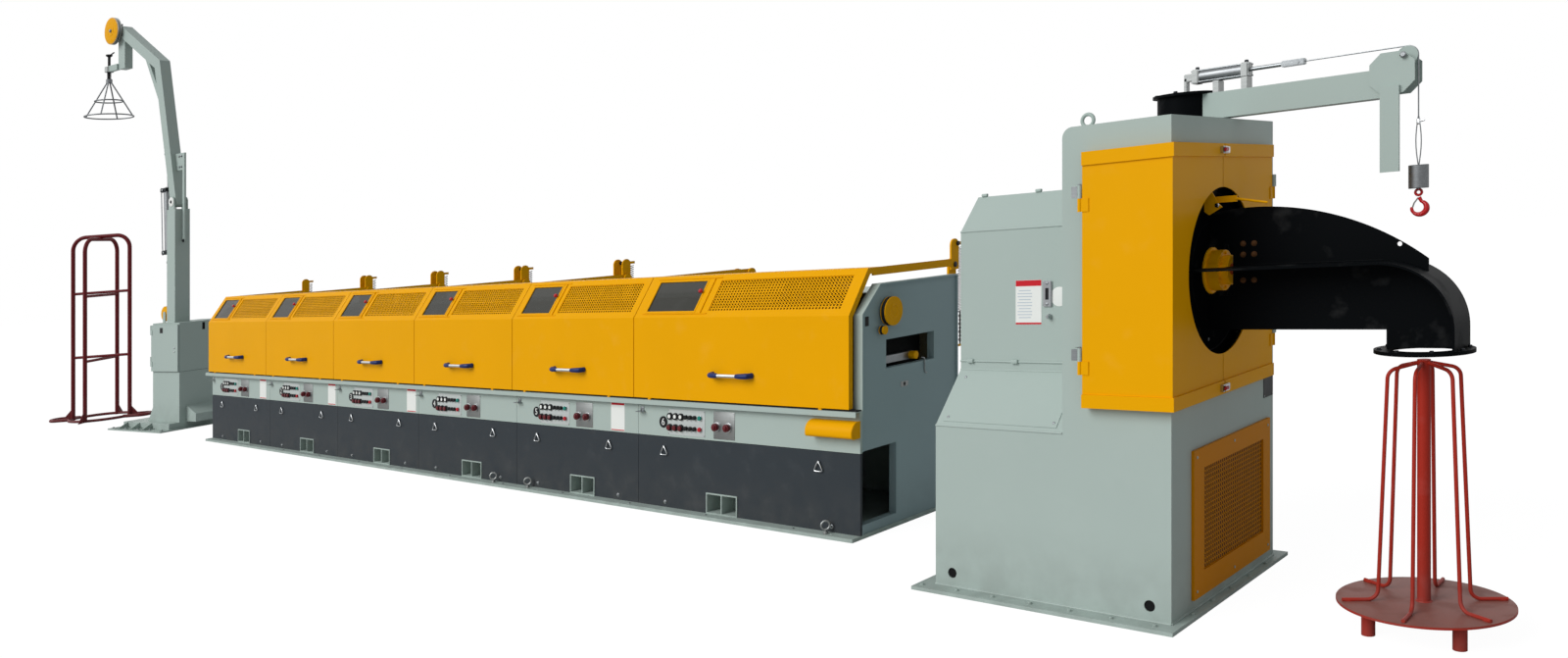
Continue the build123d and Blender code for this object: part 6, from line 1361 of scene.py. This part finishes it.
class LINE_OT_payoff(bpy.types.Operator):
    """Cylinder with tie rods, sheave faces, guide, spring, plates and bolts of the payoff stand"""

    bl_idname = "drawing_line.payoff"
    bl_label = "Payoff stand"

    low_pin = (-0.178, 1.870)
    high_pin = (-0.225, 3.110)

    def execute(self, context):
        self.tilt_cylinder()
        self.sheaves()
        self.cabinet()
        self.post()
        self.guide(-1.480, -0.040)
        return {"FINISHED"}

    def tilt_cylinder(self):
        low = Vector((self.low_pin[0], 0, self.low_pin[1]))
        along = (Vector((self.high_pin[0], 0, self.high_pin[1])) - low).normalized()
        across = Vector((along.z, 0, -along.x))

        def spot(side, depth, up):
            return at_payoff(*(low + along * up + across * side + Vector((0, depth, 0))))

        ends = [(spot(0, 0, 0.130), spot(0, 0, 0.810))]
        options = {"body": "tilt_cylinder", "slot": "cylinder_silver"}
        barrel = rods("tilt_barrel", "cylinder_silver", ends, 0.0520, 36, **options)
        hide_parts("tilt_cylinder")
        mesh = bmesh.new()
        cap, eye, reach = 0.065, 0.013, 0.054
        for up in (0.090, 0.802):
            add_block(mesh, (-cap, -cap, up), (cap, cap, up + 0.048), 0.006, spot)
        add_block(mesh, (-eye, -eye, 0.0), (eye, eye, 0.092), 0.002, spot)
        add_rod(mesh, spot(0, -eye, 0), spot(0, eye, 0), 0.026, 24)
        piece("tilt_caps", mesh, "dark_steel", body="tilt_cylinder")
        corners = [(side, depth) for side in (-reach, reach) for depth in (-reach, reach)]
        ends = [(spot(side, depth, 0.084), spot(side, depth, 0.856)) for side, depth in corners]
        rods("tilt_tie_rods", "steel", ends, 0.0060, body="tilt_cylinder")
        ends = [(spot(0, -cap, up), spot(0, -0.077, up)) for up in (0.114, 0.826)]
        rods("tilt_ports", "chrome", ends, 0.011, 6, body="tilt_cylinder")

    def sheaves(self):
        axis = -payoff_axis
        x, z = -1.275, 4.672
        centre = at_payoff(x, -0.116, z)
        profile = [
            (0.150, -0.001), (0.150, 0.002), (0.142, 0.004), (0.060, 0.004), (0.056, 0.007), (0.020, 0.007),
        ]
        options = {"body": "arm_sheave", "slot": "hood_yellow"}
        turned("arm_sheave_face", "hood_paint", centre, axis, profile, 56, **options)
        rim, groove, edge = 0.1592, 0.146, 0.150
        profile = [
            (edge, 0), (rim, 0.001), (rim, 0.016), (groove, 0.022), (rim, 0.028), (rim, 0.043),
            (edge, 0.0445),
        ]
        turned("arm_sheave_rim", "plate_steel", at_payoff(x, -0.072, z), axis, profile, 64, body="arm_sheave")
        bolts("arm_sheave_nut", [centre + axis * 0.007], axis, "steel", 1.4, body="arm_sheave")
        x, z = -0.250, 1.283
        profile = [(0.0855, -0.001), (0.0855, 0.001), (0.080, 0.002), (0.030, 0.002), (0.028, 0.003)]
        options = {"body": "cabinet_sheave", "slot": "hood_yellow"}
        turned("cabinet_sheave_face", "hood_paint", at_payoff(x, -0.018, z), axis, profile, 44, **options)
        profile = [(0.080, 0), (0.0862, 0.001), (0.0862, 0.030), (0.082, 0.033)]
        options = {"body": "cabinet_sheave"}
        turned("cabinet_sheave_tread", "rubber_seal", at_payoff(x, 0.0185, z), axis, profile, 44, **options)

    def cabinet(self):
        front, door = -0.161, "payoff_cabinet_door"
        corners = [((-0.090, front - 0.002, 1.075), (-0.030, front, 1.135))]
        blocks("door_plate_black", "black_plastic", corners, 0.0005, at_payoff, body=door)
        places = [at_payoff(0.215, front, z) for z in (0.905, 0.865)]
        screws("door_locks", places, -payoff_axis, 0.010, "chrome", body=door)
        # A slot in the cabinet's side drawn as a thin dark block: painted shade
        corners = [((0.280, 0.120, 1.085), (0.2815, 0.150, 1.165))]
        blocks("cabinet_slot", "inner_shade", corners, 0, at_payoff, smooth=False)
        low, high = 0.637, 0.640
        corners = [
            ((-0.2805, -0.1408, low), (0.2805, -0.1395, high)),
            ((0.2795, -0.1405, low), (0.2808, 0.4205, high)),
        ]
        blocks("cabinet_seam", "lower_paint", corners, 0, at_payoff, smooth=False)
        places = [at_payoff(x, -0.330, 0.016) for x in (-0.78, -0.50, -0.24, 0.02, 0.27)]
        places += [at_payoff(x, 0.400, 0.080) for x in (-0.60, -0.40)]
        bolts("payoff_foot_bolts", places, Z_AXIS, "steel", 1.1)
        toes = [-0.610 + 0.260 * number + side * 0.060 for number in range(3) for side in SIDES]
        corners = [((x, -0.372, 0.0160), (x + 0.008, -0.257, 0.0240)) for x in toes]
        blocks("toe_edges", "body_paint", corners, 0, at_payoff, smooth=False)

    def post(self):
        """Pivot cover and pin, the bolts of arm, tail and pins, and the weld round the post."""
        axis = -payoff_axis
        centre = at_payoff(0, -0.080, 2.545)
        profile = [(0.052, -0.001), (0.052, 0.004), (0.044, 0.006), (0.024, 0.006)]
        turned("pivot_cover", "white_plate", centre, axis, profile, 36)
        profile = [(0.018, -0.001), (0.018, 0.002), (0.012, 0.004)]
        turned("pivot_pin_end", "black_plastic", centre + axis * 0.006, axis, profile, 24)
        bolts("tail_bolt", [at_payoff(0.124, -0.010, 2.100)], axis, "dark_steel", 1.2, body="payoff_arm")
        places = [at_payoff(x, -0.010, z) for x in (0.040, 0.085) for z in (2.935, 3.055)]
        bolts("tail_plate_bolts", places, axis, "steel", 0.9, body="payoff_arm")
        half, z = 0.085, 1.187
        left, corner, rear = (at_payoff(x, y, z) for x, y in ((-half, -half), (half, -half), (half, half)))
        rods("post_weld", "body_paint", [(left, corner), (corner, rear)], 0.006)
        for name, (x, z), body in (("low", self.low_pin, "line"), ("high", self.high_pin, "payoff_arm")):
            bolts(f"tilt_{name}_pin", [at_payoff(x, -0.026, z)], axis, "steel", 1.1, body=body)
        places = [at_payoff(-1.125, -0.060, z) for z in (4.610, 4.725)]
        bolts("head_bolts", places, axis, "steel", 0.9, body="payoff_arm")

    def guide(self, x, y):
        """Wire guide over the cone: head with its arm, collar, and spring on a stem."""
        mesh = bmesh.new()
        profile = [(0.020, 0), (0.026, 0.006), (0.0355, 0.012), (0.0360, 0.028), (0.028, 0.0285)]
        add_turned(mesh, at_payoff(x, y, 4.398), Z_AXIS, profile, 36)
        add_rod(mesh, at_payoff(x, y, 4.415), at_payoff(x + 0.115, y, 4.435), 0.008, 10)
        add_rod(mesh, at_payoff(x, y, 4.278), at_payoff(x, y, 4.400), 0.0155, 20)
        piece("guide_head", mesh, "black_plastic", body="payoff_arm")
        profile = [(0.040, 0), (0.0475, 0.003), (0.0475, 0.060), (0.043, 0.066), (0.020, 0.066)]
        turned("guide_collar", "plate_steel", at_payoff(x, y, 4.213), Z_AXIS, profile, 36, body="payoff_arm")
        radius, low, length, steps, round_steps = 0.0200, 4.1325, 0.079, 96, 12
        path = []
        for step in range(steps + 1):
            angle = 2 * math.pi * step / round_steps
            across, depth = radius * math.cos(angle), radius * math.sin(angle)
            path.append(at_payoff(x + across, y + depth, low + length * step / steps))
        mesh = bmesh.new()
        add_tube(mesh, path, 0.0036, 7)
        add_rod(mesh, at_payoff(x, y, 4.13), at_payoff(x, y, 4.215), 0.011, 14)
        spring = piece("guide_spring", mesh, "black_plastic", body="payoff_arm", slot="black_steel")
        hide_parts("cone_spring")


class LINE_OT_stands(bpy.types.Operator):
    """Disc top and welds of the coil stand"""

    bl_idname = "drawing_line.stands"
    bl_label = "Coil stand"

    def execute(self, context):
        low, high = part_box("coil_stand")
        centre = Vector(((low.x + high.x) / 2, (low.y + high.y) / 2, 0.108))
        profile = [(0.2985, -0.0005), (0.2985, 0.0008), (0.297, 0.0012)]
        turned("disc_top", "disc_top", centre, Z_AXIS, profile, 96, slot="red_paint")
        mesh = bmesh.new()
        for angle in turn_angles(6, 0.5):
            outward = Vector((math.cos(angle), math.sin(angle), 0))
            points = [centre + outward * radius + Z_AXIS * 0.004 for radius in (0.245, 0.265, 0.286)]
            add_tube(mesh, points, [0.004, 0.0085, 0.005], 8)
        add_torus(mesh, centre + Z_AXIS * 0.001, Z_AXIS, 0.0245, 0.005, 24, 6)
        piece("stand_welds", mesh, "stand_paint", slot="red_paint")
        return {"FINISHED"}


class LINE_PT_panel(bpy.types.Panel):
    bl_idname = "LINE_PT_panel"
    bl_label = "Drawing line"
    bl_space_type = "VIEW_3D"
    bl_region_type = "UI"
    bl_category = "Drawing line"

    def draw(self, context):
        layout = self.layout
        for group in (context.scene.line_paint, context.scene.line_sizes):
            for name in group.__annotations__:
                layout.prop(group, name)
        for operator in OPERATORS:
            layout.operator(operator.bl_idname)


OPERATORS = (
    LINE_OT_paint_solids,
    LINE_OT_stage,
    LINE_OT_hood_fittings,
    LINE_OT_balance_springs,
    LINE_OT_control_strips,
    LINE_OT_lower_panels,
    LINE_OT_end_frame,
    LINE_OT_takeup,
    LINE_OT_winding,
    LINE_OT_jib,
    LINE_OT_payoff,
    LINE_OT_stands,
)
CLASSES = (LinePaint, LineSizes) + OPERATORS + (LINE_PT_panel,)


def register():
    for item in CLASSES:
        bpy.utils.register_class(item)
    bpy.types.Scene.line_paint = PointerProperty(type=LinePaint)
    bpy.types.Scene.line_sizes = PointerProperty(type=LineSizes)


def unregister():
    del bpy.types.Scene.line_sizes
    del bpy.types.Scene.line_paint
    for item in reversed(CLASSES):
        bpy.utils.unregister_class(item)


def main():
    register()
    for operator in OPERATORS:
        group, name = operator.bl_idname.split(".")
        getattr(getattr(bpy.ops, group), name)()


if __name__ == "__main__":
    main()
